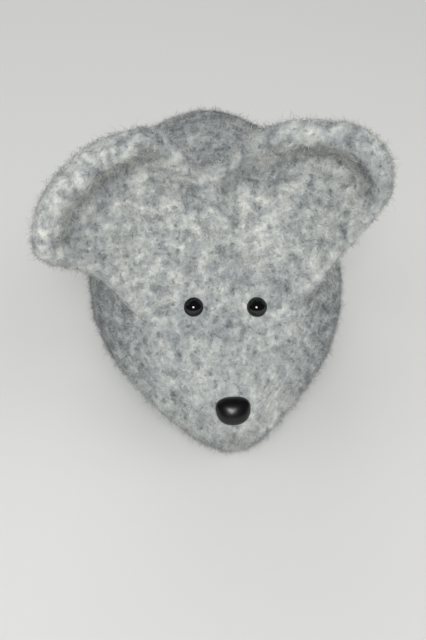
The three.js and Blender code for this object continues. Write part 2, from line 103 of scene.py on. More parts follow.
def scattered(cells, seed):
    """A number from 0 to 1 for each cell: its three whole numbers are multiplied by large odd numbers and
    mixed."""
    c = cells.astype(np.uint64) & np.uint64(0xFFFFFFFF)
    h = c[..., 0] * np.uint64(73856093) ^ c[..., 1] * np.uint64(19349663)
    h = h ^ c[..., 2] * np.uint64(83492791) ^ np.uint64(seed * 40503 + 977)
    for shift, odd in ((15, 2246822519), (13, 3266489917)):
        h = h & np.uint64(0xFFFFFFFF)
        h = (h ^ (h >> np.uint64(shift))) * np.uint64(odd)
    h = h & np.uint64(0xFFFFFFFF)
    return (h ^ (h >> np.uint64(16))) / 2.0**32


def wool_noise(points, size, seed):
    """Smooth noise from -1 to 1: random numbers at the corners of cells of that size, blended inside each
    cell by the smooth step 3 t squared - 2 t cubed along three directions. The cells lie askew to the
    mouse, so that no row of them shows."""
    p = points @ ASKEW / size
    cell = np.floor(p).astype(np.int64)
    t = p - cell
    t = t * t * (3 - 2 * t)
    total = np.zeros(points.shape[:-1])
    for corner in itertools.product((0, 1), repeat=3):
        weight = np.prod(np.where(corner, t, 1 - t), axis=-1)
        total += weight * scattered(cell + np.array(corner), seed)
    return 2 * total - 1


def layered(points, layers):
    """Noises added up, each given by its strength, its size in millimetres and its seed."""
    return sum(strength * wool_noise(points, size, seed) for strength, size, seed in layers)


print("noise near the origin:", round(float(wool_noise(np.array([0.3, 0.2, 0.1]), 1.0, 1)), 3))


# %% Steps, humps and distances
def smooth_step(low, high, value):
    """0 below low, 1 above high, and 3 t squared - 2 t cubed between them."""
    t = np.clip((value - low) / (high - low), 0, 1)
    return t * t * (3 - 2 * t)


def bump(value, middle, width):
    """A hump of height 1 round the middle: e to the power of minus the squared distance over the squared
    width."""
    return np.exp(-(((value - middle) / width) ** 2))


def unit(v):
    """The same direction, one long."""
    return v / np.linalg.norm(v, axis=-1, keepdims=True)


def away_from(points, place):
    """The straight distance of each point from a place."""
    return np.linalg.norm(points - place, axis=-1)


def from_line(points, start, end):
    """How far each point is from the straight line between two places."""
    t = np.clip(((points - start) @ (end - start)) / np.sum((end - start) ** 2), 0, 1)
    return np.linalg.norm(points - start - t[..., None] * (end - start), axis=-1)


print("half way up a smooth step:", smooth_step(0, 2, 1.0))

# %% [markdown]
# A grid of points becomes a mesh when faces join its neighbours. Blender's grid operator could make them,
# but a closed skin has its first and its last ring drawn together to one point. So the faces are counted
# out here: quads between the rings, and a fan of triangles at each pole. Felt, buttons and yarn all use it.


# %% Skins
def skin_points(first, grid, last):
    """The points of a closed skin: one pole, the rings in turn, and the other pole."""
    return np.concatenate([[first], grid.reshape(-1, 3), [last]])


def skin_faces(rings, sides):
    """Quads between the neighbouring rings of a closed skin, and the triangles round its two poles."""
    j = np.arange(sides)
    k = (j + 1) % sides
    start = 1 + sides * np.arange(rings - 1)[:, None]
    quads = np.stack([start + j, start + k, start + sides + k, start + sides + j], -1).reshape(-1, 4)
    last = 1 + sides * (rings - 1)
    pole = np.full(sides, 1 + sides * rings)
    fans = np.concatenate([
        np.stack([np.zeros(sides, int), 1 + k, 1 + j], -1),
        np.stack([pole, last + j, last + k], -1),
    ])
    return quads, fans


def surface_normals(points, quads, fans):
    """The outward direction at each point: the sum of its faces' area vectors, made one long."""
    total = np.zeros_like(points)
    for faces, last in ((quads, 3), (fans, 2)):
        a, b, c = (points[faces[:, i]] for i in (0, 1, 2))
        area = np.cross(b - a, c - a) if last == 2 else np.cross(c - a, points[faces[:, 3]] - b)
        for i, axis in itertools.product(range(last + 1), range(3)):
            total[:, axis] += np.bincount(faces[:, i], area[:, axis], len(points))
    return total / np.maximum(np.linalg.norm(total, axis=1, keepdims=True), 1e-12)


print("3 rings of 8 sides give", [len(faces) for faces in skin_faces(3, 8)], "quads and triangles")


# %% Meshes
def make_mesh(name, points, quads, fans):
    """A smooth mesh object from points in millimetres and arrays of quads and triangles."""
    mesh = bpy.data.meshes.new(name)
    corners = np.concatenate([np.asarray(quads).ravel(), np.asarray(fans).ravel()]).astype(np.int32)
    sizes = np.concatenate([np.full(len(quads), 4), np.full(len(fans), 3)])
    mesh.vertices.add(len(points))
    mesh.vertices.foreach_set("co", (points * MM).astype(np.float32).ravel())
    mesh.loops.add(len(corners))
    mesh.loops.foreach_set("vertex_index", corners)
    mesh.polygons.add(len(sizes))
    mesh.polygons.foreach_set("loop_start", (np.cumsum(sizes) - sizes).astype(np.int32))
    mesh.polygons.foreach_set("use_smooth", np.ones(len(sizes), bool))
    mesh.update(calc_edges=True)
    mesh.validate()
    piece = bpy.data.objects.new(name, mesh)
    bpy.context.scene.collection.objects.link(piece)
    return piece


def paint(piece, name, values):
    """Keeps one number for each point of the piece, for its material to read."""
    layer = piece.data.attributes.new(name, "FLOAT", "POINT")
    layer.data.foreach_set("value", values.astype(np.float32))


print("one millimetre is", MM, "of Blender's units")

# %% [markdown]
# ## The stuffed body
# The real body is a knitted bag, shrunk in hot water until it is felt and then packed with fibre. Its form
# swells from a pointed face to a broad rump and goes flat where it sits. It could be sculpted, but a formula
# of two values, how far back from the nose and how far round, gives the same form as the solid model.

# %% Sections of the body
LENGTH, WIDTH, HEIGHT = 117.0, 74.0, 61.0
WIDEST_AT, TALLEST_AT = 0.436 * LENGTH, 0.654 * LENGTH
NOSE_TIP, RUMP_TIP = 8.6, 20.0
SNOUT_LENGTH, SNOUT_RISE, SNOUT_HALF = 8.3, 6.7, 4.0
CHIN_LENGTH, RUMP_TUCK, BELLY_DIP = 6.5, 28.0, 0.5
FACE_POINTEDNESS, FACE_SLOPE, RUMP_FULLNESS = 0.98, 1.2, 2.3
BELLY_FLATNESS, WIDEST_SHARE = 0.65, 0.45


def rounded(value, power):
    """One quarter of a rounded arch: the square root of 1 - value to the power."""
    return np.sqrt(np.clip(1 - np.clip(value, 0, None) ** power, 0, None))


def body_sections(back):
    """Half width, top, bottom and height of the widest place for each distance back from the nose. The
    width is a short round snout and a cheek that follows a parabola, then a full arch to the rump. The top
    is the same snout, a rise that follows a sine to the back's top, and an arch down to the rump."""
    snout = rounded(1 - np.clip(back / SNOUT_LENGTH, 0, 1), 2)
    cheek = (1 - np.clip(1 - back / WIDEST_AT, 0, 1) ** 2) ** FACE_POINTEDNESS
    front = SNOUT_HALF * snout + (WIDTH / 2 - SNOUT_HALF) * cheek
    rear = WIDTH / 2 * rounded((back - WIDEST_AT) / (LENGTH - WIDEST_AT), RUMP_FULLNESS)
    half = np.where(back < WIDEST_AT, front, rear)
    climb = np.sin(np.pi / 2 * np.clip(back / TALLEST_AT, 0, 1)) ** FACE_SLOPE
    rise = NOSE_TIP + SNOUT_RISE * snout + (HEIGHT - NOSE_TIP - SNOUT_RISE) * climb
    drop = rounded((back - TALLEST_AT) / (LENGTH - TALLEST_AT), RUMP_FULLNESS)
    top = np.where(back < TALLEST_AT, rise, RUMP_TIP + (HEIGHT - RUMP_TIP) * drop)
    chin = rounded(1 - np.clip(back / CHIN_LENGTH, 0, 1), 2)
    tuck = 1 - rounded((back - LENGTH + RUMP_TUCK) / RUMP_TUCK, RUMP_FULLNESS)
    bottom = NOSE_TIP - (NOSE_TIP + BELLY_DIP) * chin + (RUMP_TIP + BELLY_DIP) * tuck
    return half, top, bottom, bottom + WIDEST_SHARE * (top - bottom)


print("half width at the widest place:", body_sections(np.array(WIDEST_AT))[0])


# %% Points of the body
def side_power(back, below):
    """The power of the cosine that carries the sides out: 1 above the widest place, and below it a power
    that falls from 1 at the nose to BELLY_FLATNESS, which keeps the sides wide."""
    return np.where(below, 1 + (BELLY_FLATNESS - 1) * smooth_step(0, WIDEST_AT, back), 1.0)


def body_points(back, angle):
    """Points of the body: half an ellipse above the widest place and a half with fuller sides below it.
    Angle 0 is the mouse's own left."""
    half, top, bottom, widest = body_sections(back)
    c, s = np.cos(angle), np.sin(angle)
    across = np.sign(c) * np.abs(c) ** side_power(back, s < 0)
    up = widest + s * np.where(s > 0, top - widest, widest - bottom)
    return np.stack([half * across, back - LENGTH / 2 + 0 * angle, up], -1)


def body_distance(points):
    """About how far each point lies outside the body: the ellipse number of its cross-section, less 1,
    divided by how fast that number grows there."""
    def level(p):
        back = np.clip(p[..., 1] + LENGTH / 2, 0.5, LENGTH - 0.5)
        half, top, bottom, widest = body_sections(back)
        rise = p[..., 2] - widest
        across = np.abs(p[..., 0] / half) ** (1 / side_power(back, rise < 0))
        return np.hypot(across, rise / np.where(rise > 0, top - widest, widest - bottom)) - 1
    step = 0.2
    slopes = [(level(points + step * e) - level(points - step * e)) / (2 * step) for e in np.eye(3)]
    return level(points) / np.maximum(np.linalg.norm(slopes, axis=0), 1e-3)


print("top of the back:", body_points(np.array(TALLEST_AT), np.pi / 2).round(1))

# %% Places of the eyes and the nose
MIRROR = np.array([-1, 1, 1])
EYE_SPREAD = 0.116 * WIDTH
LEFT_EYE_BACK, RIGHT_EYE_BACK, NOSE_BACK = 0.207 * LENGTH, 0.2135 * LENGTH, 3.0
EYE_RADIUS, NOSE_REACH = 2.85, 4.4


def on_body(spread, back):
    """The place on the upper side that lies the spread from the middle, and the direction straight out of
    it: the cross product of a small step back and a small step round."""
    angle = np.arccos(spread / body_sections(np.array(back))[0])
    step = 0.05
    along = body_points(np.array(back + step), angle) - body_points(np.array(back - step), angle)
    around = body_points(np.array(back), angle + step) - body_points(np.array(back), angle - step)
    return body_points(np.array(back), angle), unit(np.cross(along, around))


left_eye_place, left_eye_out = on_body(EYE_SPREAD, LEFT_EYE_BACK)
right_eye_place, right_eye_out = (v * MIRROR for v in on_body(EYE_SPREAD, RIGHT_EYE_BACK))
nose_place, nose_out = on_body(0.0, NOSE_BACK)
print("left eye sits at", left_eye_place.round(1), "and the nose at", nose_place.round(1))

# %% [markdown]
# ## Where the ears are sewn on
# Each ear is sewn to the forehead along a straight line that runs from the middle of the head down to its
# side. The line could be drawn where it looks right, but its two ends are places on the body, so the ears
# follow the body's form. From the line come the ear's own three directions: along the root, up the ear, and
# out of its cupped front.

# %% Roots of the ears
EAR_LEAN = np.radians(10.0)
ROOT_RAISE = 1.4
ROOT_INNER = (0.046 * WIDTH, 0.325 * LENGTH)
ROOT_OUTER = (0.262 * WIDTH, 0.2624 * LENGTH)


def ear_root(side):
    """Middle and ends of the root, and the ear's along, up and front directions; side is 1 for the left and
    -1 for the right."""
    mirror = np.array([side, 1, 1])
    (inner, inner_out), (outer, outer_out) = on_body(*ROOT_INNER), on_body(*ROOT_OUTER)
    inner = (inner + ROOT_RAISE * inner_out) * mirror
    outer = (outer + ROOT_RAISE * outer_out) * mirror
    along = unit(outer - inner)
    upright = unit(np.array([0, 0, 1]) - along * along[2])
    facing = side * np.cross(along, upright)
    up = upright * np.cos(EAR_LEAN) - facing * np.sin(EAR_LEAN)
    front = facing * np.cos(EAR_LEAN) + upright * np.sin(EAR_LEAN)
    return {"middle": (inner + outer) / 2, "along": along, "up": up, "front": front,
            "inner": inner, "outer": outer, "side": side}


left_root, right_root = ear_root(1), ear_root(-1)
print("left ear's root is", away_from(left_root["outer"], left_root["inner"]).round(1), "mm long")

# %% [markdown]
# ## The form of an ear
# Each ear is one thick piece of felt, cut by hand, cupped in the middle and with its rim curled forward. The
# two outlines differ: the right one droops outwards. A flat shape could be bent with modifiers, but a
# formula that gives the depth of the cup for every place inside the outline does more: it also tells how far
# any point in space is from the ear, and that is what joins ear and forehead softly further on. Each corner
# of an outline is given by its place along and up the ear and by how much the rim rolls there.

# %% Outline of the ears
LEFT_EDGE = np.array([
    [-17, -5, 0], [-24, 3, 0], [-27, 10, 0], [-24.5, 18, 0.2], [-20.5, 34, 0.8],
    [-8, 45, 1], [5, 46.8, 0.95], [15, 37.5, 0.3], [14.8, 20, 0], [11, -5.0, 0],
])
RIGHT_EDGE = np.array([
    [-14, -5, 0], [-19, 3, 0], [-21, 9, 0], [-19.5, 20, 0.12], [-17.5, 36.5, 0.65],
    [-2, 45.5, 1], [14, 43.5, 1], [26, 33, 0.8], [19, 17, 0.1], [11, -5.0, 0],
])
CURVE_STEPS = 80


def cut_edge(corners, count):
    """A smooth closed line through the corners, at even distances: between two corners runs a cubic curve
    whose slopes come from the square roots of the distances to the neighbours. The roll of the rim runs
    along."""
    p0, p1, p2, p3 = (np.roll(corners, k, axis=0) for k in (1, 0, -1, -2))
    gaps = ((p0, p1), (p1, p2), (p2, p3))
    d0, d1, d2 = (np.sqrt(np.linalg.norm((b - a)[:, :2], axis=1))[:, None] for a, b in gaps)
    start = ((p1 - p0) / d0 - (p2 - p0) / (d0 + d1) + (p2 - p1) / d1) * d1
    end = ((p2 - p1) / d1 - (p3 - p1) / (d1 + d2) + (p3 - p2) / d2) * d1
    t = np.linspace(0, 1, CURVE_STEPS, endpoint=False)[None, :, None]
    p1, p2, start, end = (v[:, None, :] for v in (p1, p2, start, end))
    curve = p1 + t * (start + t * (3 * (p2 - p1) - 2 * start - end + t * (2 * (p1 - p2) + start + end)))
    loop = np.concatenate([curve.reshape(-1, 3), corners[:1]])
    run = np.concatenate([[0], np.cumsum(np.linalg.norm(np.diff(loop[:, :2], axis=0), axis=1))])
    at = np.linspace(0, run[-1], count, endpoint=False)
    return np.stack([np.interp(at, run, loop[:, k]) for k in range(3)], -1)


print("right ear reaches", cut_edge(RIGHT_EDGE, 99)[:, 1].max().round(1), "mm up from its root")

# %% Cup of the ears
EAR_HALF, RIM_SWELL, RIM_FROM, RIM_FULL = 2.3, 1.2, 0.6, 0.95
EAR_CUP, EAR_CURL, CURL_FROM = 6.5, 5.4, 0.57
EAR_MIDDLE = 24.0
RIM_POINTS = 720
RIM_WAVES = ((0.8, 3, 1), (0.3, 7, 2))


def ear_form(edge, root, wobble):
    """An ear's root, and for each angle round its middle how much the rim rolls and how far the middle of
    the felt reaches, which is the outline less half the thickness of the rim."""
    rim = cut_edge(edge, RIM_POINTS)
    way = rim[:, :2] - np.array([0, EAR_MIDDLE])
    angle = np.arctan2(way[:, 1], way[:, 0])
    order = np.argsort(angle)
    free = np.clip(rim[:, 2], 0, 1)
    reach = np.linalg.norm(way, axis=1) - EAR_HALF - RIM_SWELL * free
    basis = np.stack([root["along"], root["up"], root["front"]])
    return {**root, "edge": edge, "basis": basis, "wobble": wobble, "angle": angle[order],
            "reach": reach[order], "free": free[order]}


def at_angle(ear, what, angle):
    """The ear's reach or the roll of its rim at each angle round its middle."""
    return np.interp(angle, ear["angle"], ear[what], period=2 * np.pi)


def ear_half(ear, t, angle):
    """Half the felt's thickness, with t the share of the way from the ear's middle to its rim: the rim is
    fuller."""
    return EAR_HALF + RIM_SWELL * at_angle(ear, "free", angle) * smooth_step(RIM_FROM, RIM_FULL, t)


def ear_depth(ear, t, angle):
    """How far forward the middle of the felt lies: a cup of t squared, a curl of the square of what lies
    beyond CURL_FROM, and two slow waves of a worn rim, each a sine round the ear."""
    free = at_angle(ear, "free", angle)
    curl = np.clip((t - CURL_FROM) / (1 - CURL_FROM), 0, None)
    wave = sum(height * np.sin(count * angle + shift * ear["wobble"]) for height, count, shift in RIM_WAVES)
    return EAR_CUP * (t**2 - 1) + EAR_CURL * free * curl**2 + wave * free * t**3


def ear_slope(ear, t, angle):
    """How steeply the cup rises towards the rim."""
    step = 0.01
    climb = ear_depth(ear, t + step, angle) - ear_depth(ear, t - step, angle)
    return climb / (2 * step * at_angle(ear, "reach", angle))


left_form = ear_form(LEFT_EDGE, left_root, wobble=0.4)
right_form = ear_form(RIGHT_EDGE, right_root, wobble=2.9)
print("left ear's rim reaches", left_form["reach"].max().round(1), "mm from its middle")

# %% Distance from an ear
PAST_RIM = 1.3


def ear_distance(points, ear):
    """About how far each point lies outside an ear: its distance from the middle of the felt, less half the
    felt's thickness. Past the rim the distance is taken from the rim itself."""
    local = (points - ear["middle"]) @ ear["basis"].T
    x, y, z = local[..., 0], local[..., 1] - EAR_MIDDLE, local[..., 2]
    angle, away = np.arctan2(y, x), np.hypot(x, y)
    reach = at_angle(ear, "reach", angle)
    t = np.minimum(away / reach, PAST_RIM)
    flat = (z - ear_depth(ear, t, angle)) / np.hypot(1, ear_slope(ear, t, angle))
    past, rise = away - reach, z - ear_depth(ear, 1.0, angle)
    slope = ear_slope(ear, 1.0, angle)
    along = np.maximum((past + rise * slope) / np.hypot(1, slope), 0)
    across = np.where(along > 0, (rise - past * slope) / np.hypot(1, slope), flat)
    return np.hypot(along, across) - ear_half(ear, np.minimum(t, 1), angle)


print("the nose is", ear_distance(nose_place, left_form).round(1), "mm from the left ear")

# %% [markdown]
# ## One soft join
# Felt ears are sewn and fulled until root and forehead run into each other. Two meshes that merely cross
# would show a hard line. So head and ears share one distance, rounded off where two of them meet, and both
# the body's and the ears' points near a root are drawn to where that shared distance is nought.

# %% Shared distance
ROOT_ROUND, EARS_ROUND = 12.0, 7.0
BODY, LEFT, RIGHT = 0, 1, 2


def soft_least(a, b, reach):
    """The lesser of two distances, rounded off where they differ by less than the reach."""
    h = np.clip(0.5 + 0.5 * (b - a) / reach, 0, 1)
    return b + (a - b) * h - reach * h * (1 - h)


def distances(points):
    """Distances from the body, the left ear and the right ear."""
    ears = [ear_distance(points, form) for form in (left_form, right_form)]
    return np.stack([body_distance(points), *ears])


def joined_distance(points):
    """Distance from head and ears together."""
    body, left, right = distances(points)
    return soft_least(body, soft_least(left, right, EARS_ROUND), ROOT_ROUND)


depth = -joined_distance(np.array([[0.0, -20.0, 46.0]]))[0]
print("between the ears the join stands", depth.round(1), "mm deep")

# %% Draw points to the join
SETTLE_STEPS, PROBE, LEAST_SLOPE = 5, 0.15, 0.4
DEEP_INSIDE, JUST_INSIDE = -2.5, -0.5
TUCK_DEPTH, TUCK_OVER = 0.9, 5.0


def settled(points, own):
    """Moves one piece's points to where the shared distance is nought, in five steps along the steepest way.
    The pull fades out where the neighbours are far and for points that lie deep inside a neighbour."""
    away = distances(points)
    body_far = away[BODY] if own else np.minimum(away[LEFT], away[RIGHT])
    ear_far = away[LEFT + RIGHT - own] if own else body_far
    near = np.flatnonzero((body_far < ROOT_ROUND) | (ear_far < EARS_ROUND))
    spots = points[near]
    for _ in range(SETTLE_STEPS):
        rise = [joined_distance(spots + PROBE * e) - joined_distance(spots - PROBE * e) for e in np.eye(3)]
        slope = np.stack(rise, -1) / (2 * PROBE)
        steep = np.maximum(np.sum(slope**2, 1), LEAST_SLOPE)[:, None]
        spots = spots - joined_distance(spots)[:, None] * slope / steep
    body_far, ear_far = body_far[near], ear_far[near]
    pull = 1 - smooth_step(0.5 * ROOT_ROUND, ROOT_ROUND, body_far)
    if own:
        pull = np.maximum(pull, 1 - smooth_step(0.5 * EARS_ROUND, EARS_ROUND, ear_far))
    pull *= smooth_step(DEEP_INSIDE, JUST_INSIDE, np.minimum(body_far, ear_far))
    moved = points.copy()
    moved[near] += (spots - points[near]) * pull[:, None]
    return moved


def tucked(points, out, own):
    """Lets points slip under the neighbour that lies nearer: nought where both are as near, and growing with
    the square of the difference, so that no edge shows."""
    away = distances(points)
    lead = away[own] - np.min(np.delete(away, own, 0), 0)
    return points - (TUCK_DEPTH * np.clip(lead / TUCK_OVER, 0, 1) ** 2)[:, None] * out


print("the join is rounded over", ROOT_ROUND, "mm at the roots and", EARS_ROUND, "mm between the ears")

# %% [markdown]
# ## Stuffing the bag
# Stuffing presses the felt outwards except where thread or a locked button holds it: at the eyes, the nose,
# the ears' roots and the closed slit at the rump. A cloth simulation is the usual way to show that: a coarse
# bag that is a little too small is filled with air while those places are held, and how far it ends from
# the formula is carried over to the fine surface. On a bag as small as this one the air is far too weak for
# the stiff felt: no point moves by more than a few thousandths of a millimetre. So the bag only stays drawn
# in by its shrink, and the dents at the buttons and along the slit are added to the felt further on.

# %% Coarse bag and held places
BAG_RINGS, BAG_SIDES = 59, 72
SEAM_LOW, SEAM_HIGH, STITCHES = 12.0, 34.0, 6
SEAM_INSIDE = 1.5
EYE_HELD, ROOT_HELD, SEAM_HELD, BELLY_HELD = 2.6, 3.0, 2.4, 0.6
HELD_FADE = 2.0
POLES = np.array([1e-6, LENGTH - 1e-6])


def body_skin(rings, sides):
    """The nose tip, rings of body points and the rump tip. The rings lie closer together at both ends, where
    they are small. Their first column is under the belly, and the angle falls, so that faces point
    outwards."""
    i = np.arange(1, rings + 1)[:, None]
    back = LENGTH / 2 * (1 - np.cos(np.pi * i / (rings + 1)))
    angle = -2 * np.pi * np.arange(sides)[None, :] / sides - np.pi / 2
    nose_end, rump_end = body_points(POLES, np.zeros(2))
    return skin_points(nose_end, body_points(back, angle), rump_end)


def held_places(points):
    """1 where thread or a button holds the felt, falling to 0 over two millimetres round it."""
    away = [away_from(points, eye) - EYE_HELD for eye in (left_eye_place, right_eye_place)]
    away.append(away_from(points, nose_place) - NOSE_REACH)
    away += [from_line(points, root["inner"], root["outer"]) - ROOT_HELD for root in (left_root, right_root)]
    seam = [np.array([0, LENGTH / 2 - SEAM_INSIDE, z]) for z in (SEAM_LOW, SEAM_HIGH)]
    away += [from_line(points, *seam) - SEAM_HELD, points[..., 2] - BELLY_HELD]
    return 1 - smooth_step(0, HELD_FADE, np.min(away, axis=0))


coarse = body_skin(BAG_RINGS, BAG_SIDES)
coarse_out = surface_normals(coarse, *skin_faces(BAG_RINGS, BAG_SIDES))
held = held_places(coarse)
print("thread and buttons hold", int((held > 0.5).sum()), "of", len(held), "points of the bag")

# %% Fill the coarse bag with air
BAG_SHRINK, MOVED_MOST = 0.6, 0.9
BAG_FRAMES, HELD_LEVELS = 20, 10
BAG_CLOTH = {
    "quality": 6, "mass": 0.3, "tension_stiffness": 25, "compression_stiffness": 25, "shear_stiffness": 15,
    "bending_stiffness": 2, "use_pressure": True, "uniform_pressure_force": 4, "vertex_group_mass": "held",
}


def filled_with_air(points, held):
    """How far each point of the coarse bag moves when air presses it outwards for twenty frames."""
    bag = make_mesh("coarse_bag", points, *skin_faces(BAG_RINGS, BAG_SIDES))
    group = bag.vertex_groups.new(name="held")
    for level in range(HELD_LEVELS + 1):
        chosen = np.flatnonzero(np.round(held * HELD_LEVELS) == level)
        group.add(chosen.tolist(), level / HELD_LEVELS, "REPLACE")
    cloth = bag.modifiers.new("cloth", "CLOTH")
    for name, value in BAG_CLOTH.items():
        setattr(cloth.settings, name, value)
    cloth.settings.effector_weights.gravity = 0
    cloth.collision_settings.use_collision = False
    cloth.point_cache.frame_end = BAG_FRAMES
    for number in range(1, BAG_FRAMES + 1):
        bpy.context.scene.frame_set(number)
    shown = bag.evaluated_get(bpy.context.evaluated_depsgraph_get())
    after = np.zeros(len(points) * 3, np.float32)
    shown.data.vertices.foreach_get("co", after)
    moved = after.reshape(-1, 3) / MM - points
    far = np.linalg.norm(moved, axis=1, keepdims=True)
    bpy.data.objects.remove(bag)
    bpy.context.scene.frame_set(1)
    return moved * np.minimum(1, MOVED_MOST / np.maximum(far, 1e-9))


bag_shift = np.zeros_like(coarse)
small = coarse - BAG_SHRINK * coarse_out
moved = filled_with_air(small, held)
bag_shift = small + moved - coarse
print("the air moves the bag by", np.linalg.norm(moved, axis=1).max().round(4), "mm at most")

# %% [markdown]
# ## The felt of the body
# The fine surface starts from the same formula, is drawn in as the coarse bag is and then gets what felt
# has: a slow unevenness from the stuffing, nubs from the shrunken loops, faint columns of the old knitting,
# a furrow with puckers where the slit was whipped shut, and a flat place under the belly. A Subdivision
# modifier could refine the coarse bag, but the formula keeps the exact form between its points.

# %% Carry the bag's shift over
BODY_RINGS, BODY_SIDES = 268, 348


def between(values, count, wraps):
    """Values at evenly spaced rows, carried over to another count of rows by cubic curves through four
    neighbours."""
    rows = len(values)
    at = np.arange(count) * (rows / count) if wraps else np.linspace(0, rows - 1, count)
    low = np.floor(at).astype(int)
    t = (at - low)[(...,) + (None,) * (values.ndim - 1)]
    pick = (lambda i: values[i % rows]) if wraps else (lambda i: values[np.clip(i, 0, rows - 1)])
    a, b, c, d = (pick(low + k) for k in (-1, 0, 1, 2))
    return b + 0.5 * t * (c - a + t * (2 * a - 5 * b + 4 * c - d + t * (3 * (b - c) + d - a)))


def finer(values, rings, sides):
    """The coarse bag's values on the fine grid. The poles are rows of their own while the rows are filled
    in."""
    inner = values[1:-1].reshape(BAG_RINGS, BAG_SIDES, -1)
    ends = [np.broadcast_to(v, (1, BAG_SIDES, inner.shape[2])) for v in (values[0], values[-1])]
    rows = between(np.concatenate([ends[0], inner, ends[1]]), rings + 2, False)
    fine = between(rows.swapaxes(0, 1), sides, True).swapaxes(0, 1)
    return skin_points(fine[0, 0], fine[1:-1], fine[-1, 0])


fine_shift = finer(bag_shift, BODY_RINGS, BODY_SIDES)
print("shift carried from", len(bag_shift), "to", len(fine_shift), "points")

# %% Nubs, heather and furrow
NUBS = ((0.45, 19.0, 11), (0.30, 6.0, 12), (0.26, 2.7, 13), (0.15, 1.4, 14))
TUFTS = ((0.25, 1.9, 21), (0.19, 1.1, 22), (0.12, 6.0, 23))
MUZZLE_REACH, MUZZLE_EVEN, MUZZLE_PALE = 16.0, 0.55, 0.09
# Painted light on the brow and the ears' fronts, and painted shade on the flanks and the rump.
BROW_UP, BROW_BACK, BROW_PAINTED_LIGHT = (30, 48), (-15, 5), 0.08
FLANKS_OUT, FLANKS_BACK, FLANKS_PAINTED_SHADE = (14, 30), (-35, 0), 0.07
SEAM_REAR = (LENGTH / 2 - 16, LENGTH / 2 - 8)
SEAM_START, SEAM_STOP = (SEAM_LOW - 3, SEAM_LOW + 1), (SEAM_HIGH - 1, SEAM_HIGH + 3)
PUCKER, PUCKER_WIDTH, FURROW, FURROW_WIDTH = 0.35, 4.5, 1.1, 0.9


def nubs(points):
    """Height of the felt above its smooth form: slow lumps, and nubs of about 6, 2.7 and 1.4 mm, each a
    noise."""
    return layered(points, NUBS)


def heather(points):
    """How pale the wool is, from 0 to 1: tufts of about 6, 1.9 and 1.1 mm of the blended shades, each a
    noise. The muzzle is rubbed paler and more even. Painted light makes the brow and the ears paler, and
    painted shade makes the flanks and the rump darker."""
    x, y, z = points.T
    muzzle = bump(away_from(points, nose_place), 0, MUZZLE_REACH)
    # Painted light: the brow is paler. Painted shade: the flanks and the rump are darker.
    brow = smooth_step(*BROW_UP, z) * (1 - smooth_step(*BROW_BACK, y))
    flanks = np.maximum(smooth_step(*FLANKS_OUT, np.abs(x)), smooth_step(*FLANKS_BACK, y)) * (1 - brow)
    tone = 0.5 + layered(points, TUFTS) * (1 - MUZZLE_EVEN * muzzle) + MUZZLE_PALE * muzzle
    return np.clip(tone + BROW_PAINTED_LIGHT * brow - FLANKS_PAINTED_SHADE * flanks, 0, 1)


def seam_furrow(points):
    """The furrow of the closed slit, with a pucker at each stitch that fades away to both sides: a cosine up
    the slit and a hump across it."""
    x, y, z = points.T
    within = smooth_step(*SEAM_START, z) * (1 - smooth_step(*SEAM_STOP, z))
    turns = (z - SEAM_LOW) / (SEAM_HIGH - SEAM_LOW) * STITCHES
    pucker = PUCKER * np.cos(2 * np.pi * turns) * bump(x, 0, PUCKER_WIDTH)
    return smooth_step(*SEAM_REAR, y) * within * (pucker - FURROW * bump(x, 0, FURROW_WIDTH))


nose_tone, eye_tone = heather(np.stack([nose_place, left_eye_place]))
print("tone of the wool at the nose", nose_tone.round(2), "and at the left eye", eye_tone.round(2))

# %% Smooth form of the body
body_quads, body_fans = skin_faces(BODY_RINGS, BODY_SIDES)
plain_body = body_skin(BODY_RINGS, BODY_SIDES)
to_ears = np.min(distances(plain_body)[1:], axis=0)
loose = smooth_step(0.5 * ROOT_ROUND, 1.2 * ROOT_ROUND, to_ears)
smooth_body = settled(plain_body, BODY) + fine_shift * loose[:, None]
body_out = surface_normals(smooth_body, body_quads, body_fans)
smooth_body = tucked(smooth_body, body_out, BODY)
print("smooth body is", np.ptp(smooth_body, axis=0).round(1), "mm across, long and high")

# %% Felt of the body
COLUMN_WIDTH, COLUMN_HEIGHT, COLUMN_SWAY = 3.1, 0.07, (1.6, 14.0, 31)
GIRTH_SHARE, HELD_SMOOTH = 0.45, 0.7
DIMPLES = ((left_eye_place, 0.4, 3.8), (right_eye_place, 0.4, 3.8), (nose_place, 0.15, 6.0))
SITS_BELOW, SITS_LOWEST, SITS_SHARE = 3.0, 0.05, 0.15


def felt_mesh(name, points, quads, fans, tone, height):
    """A piece of felt that keeps its tone and how far each point is raised, which the material reads as
    painted shade in the hollows and painted light on the nubs.
    """
    piece = make_mesh(name, points, quads, fans)
    paint(piece, "tone", tone)
    # Painted shade in the hollows and painted light on the nubs, read by the material.
    paint(piece, "raised", np.clip(0.5 + height, 0, 1))
    return piece


around = np.tile(np.arange(BODY_SIDES) / BODY_SIDES, BODY_RINGS)
girth = np.concatenate([[0.5], around, [0.5]]) * 2 * np.pi * WIDTH * GIRTH_SHARE
sway = layered(smooth_body, [COLUMN_SWAY])
columns = COLUMN_HEIGHT * np.cos(2 * np.pi * girth / COLUMN_WIDTH + sway)
height = (nubs(smooth_body) + columns) * (1 - HELD_SMOOTH * held_places(smooth_body))
height += seam_furrow(smooth_body)
for place, dent, reach in DIMPLES:
    height -= dent * bump(away_from(smooth_body, place), 0, reach)
felt_body = smooth_body + height[:, None] * body_out
sits = smooth_step(0.0, SITS_BELOW, felt_body[:, 2])
felt_body[:, 2] = np.maximum(felt_body[:, 2], SITS_LOWEST) * (SITS_SHARE + (1 - SITS_SHARE) * sits)
body_tone = heather(smooth_body)
body_felt = felt_mesh("body_felt", felt_body, body_quads, body_fans, body_tone, height)
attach(body_felt, "body")
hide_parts("body_cover")
print("body felt:", len(body_quads) * 2 + len(body_fans), "triangles")

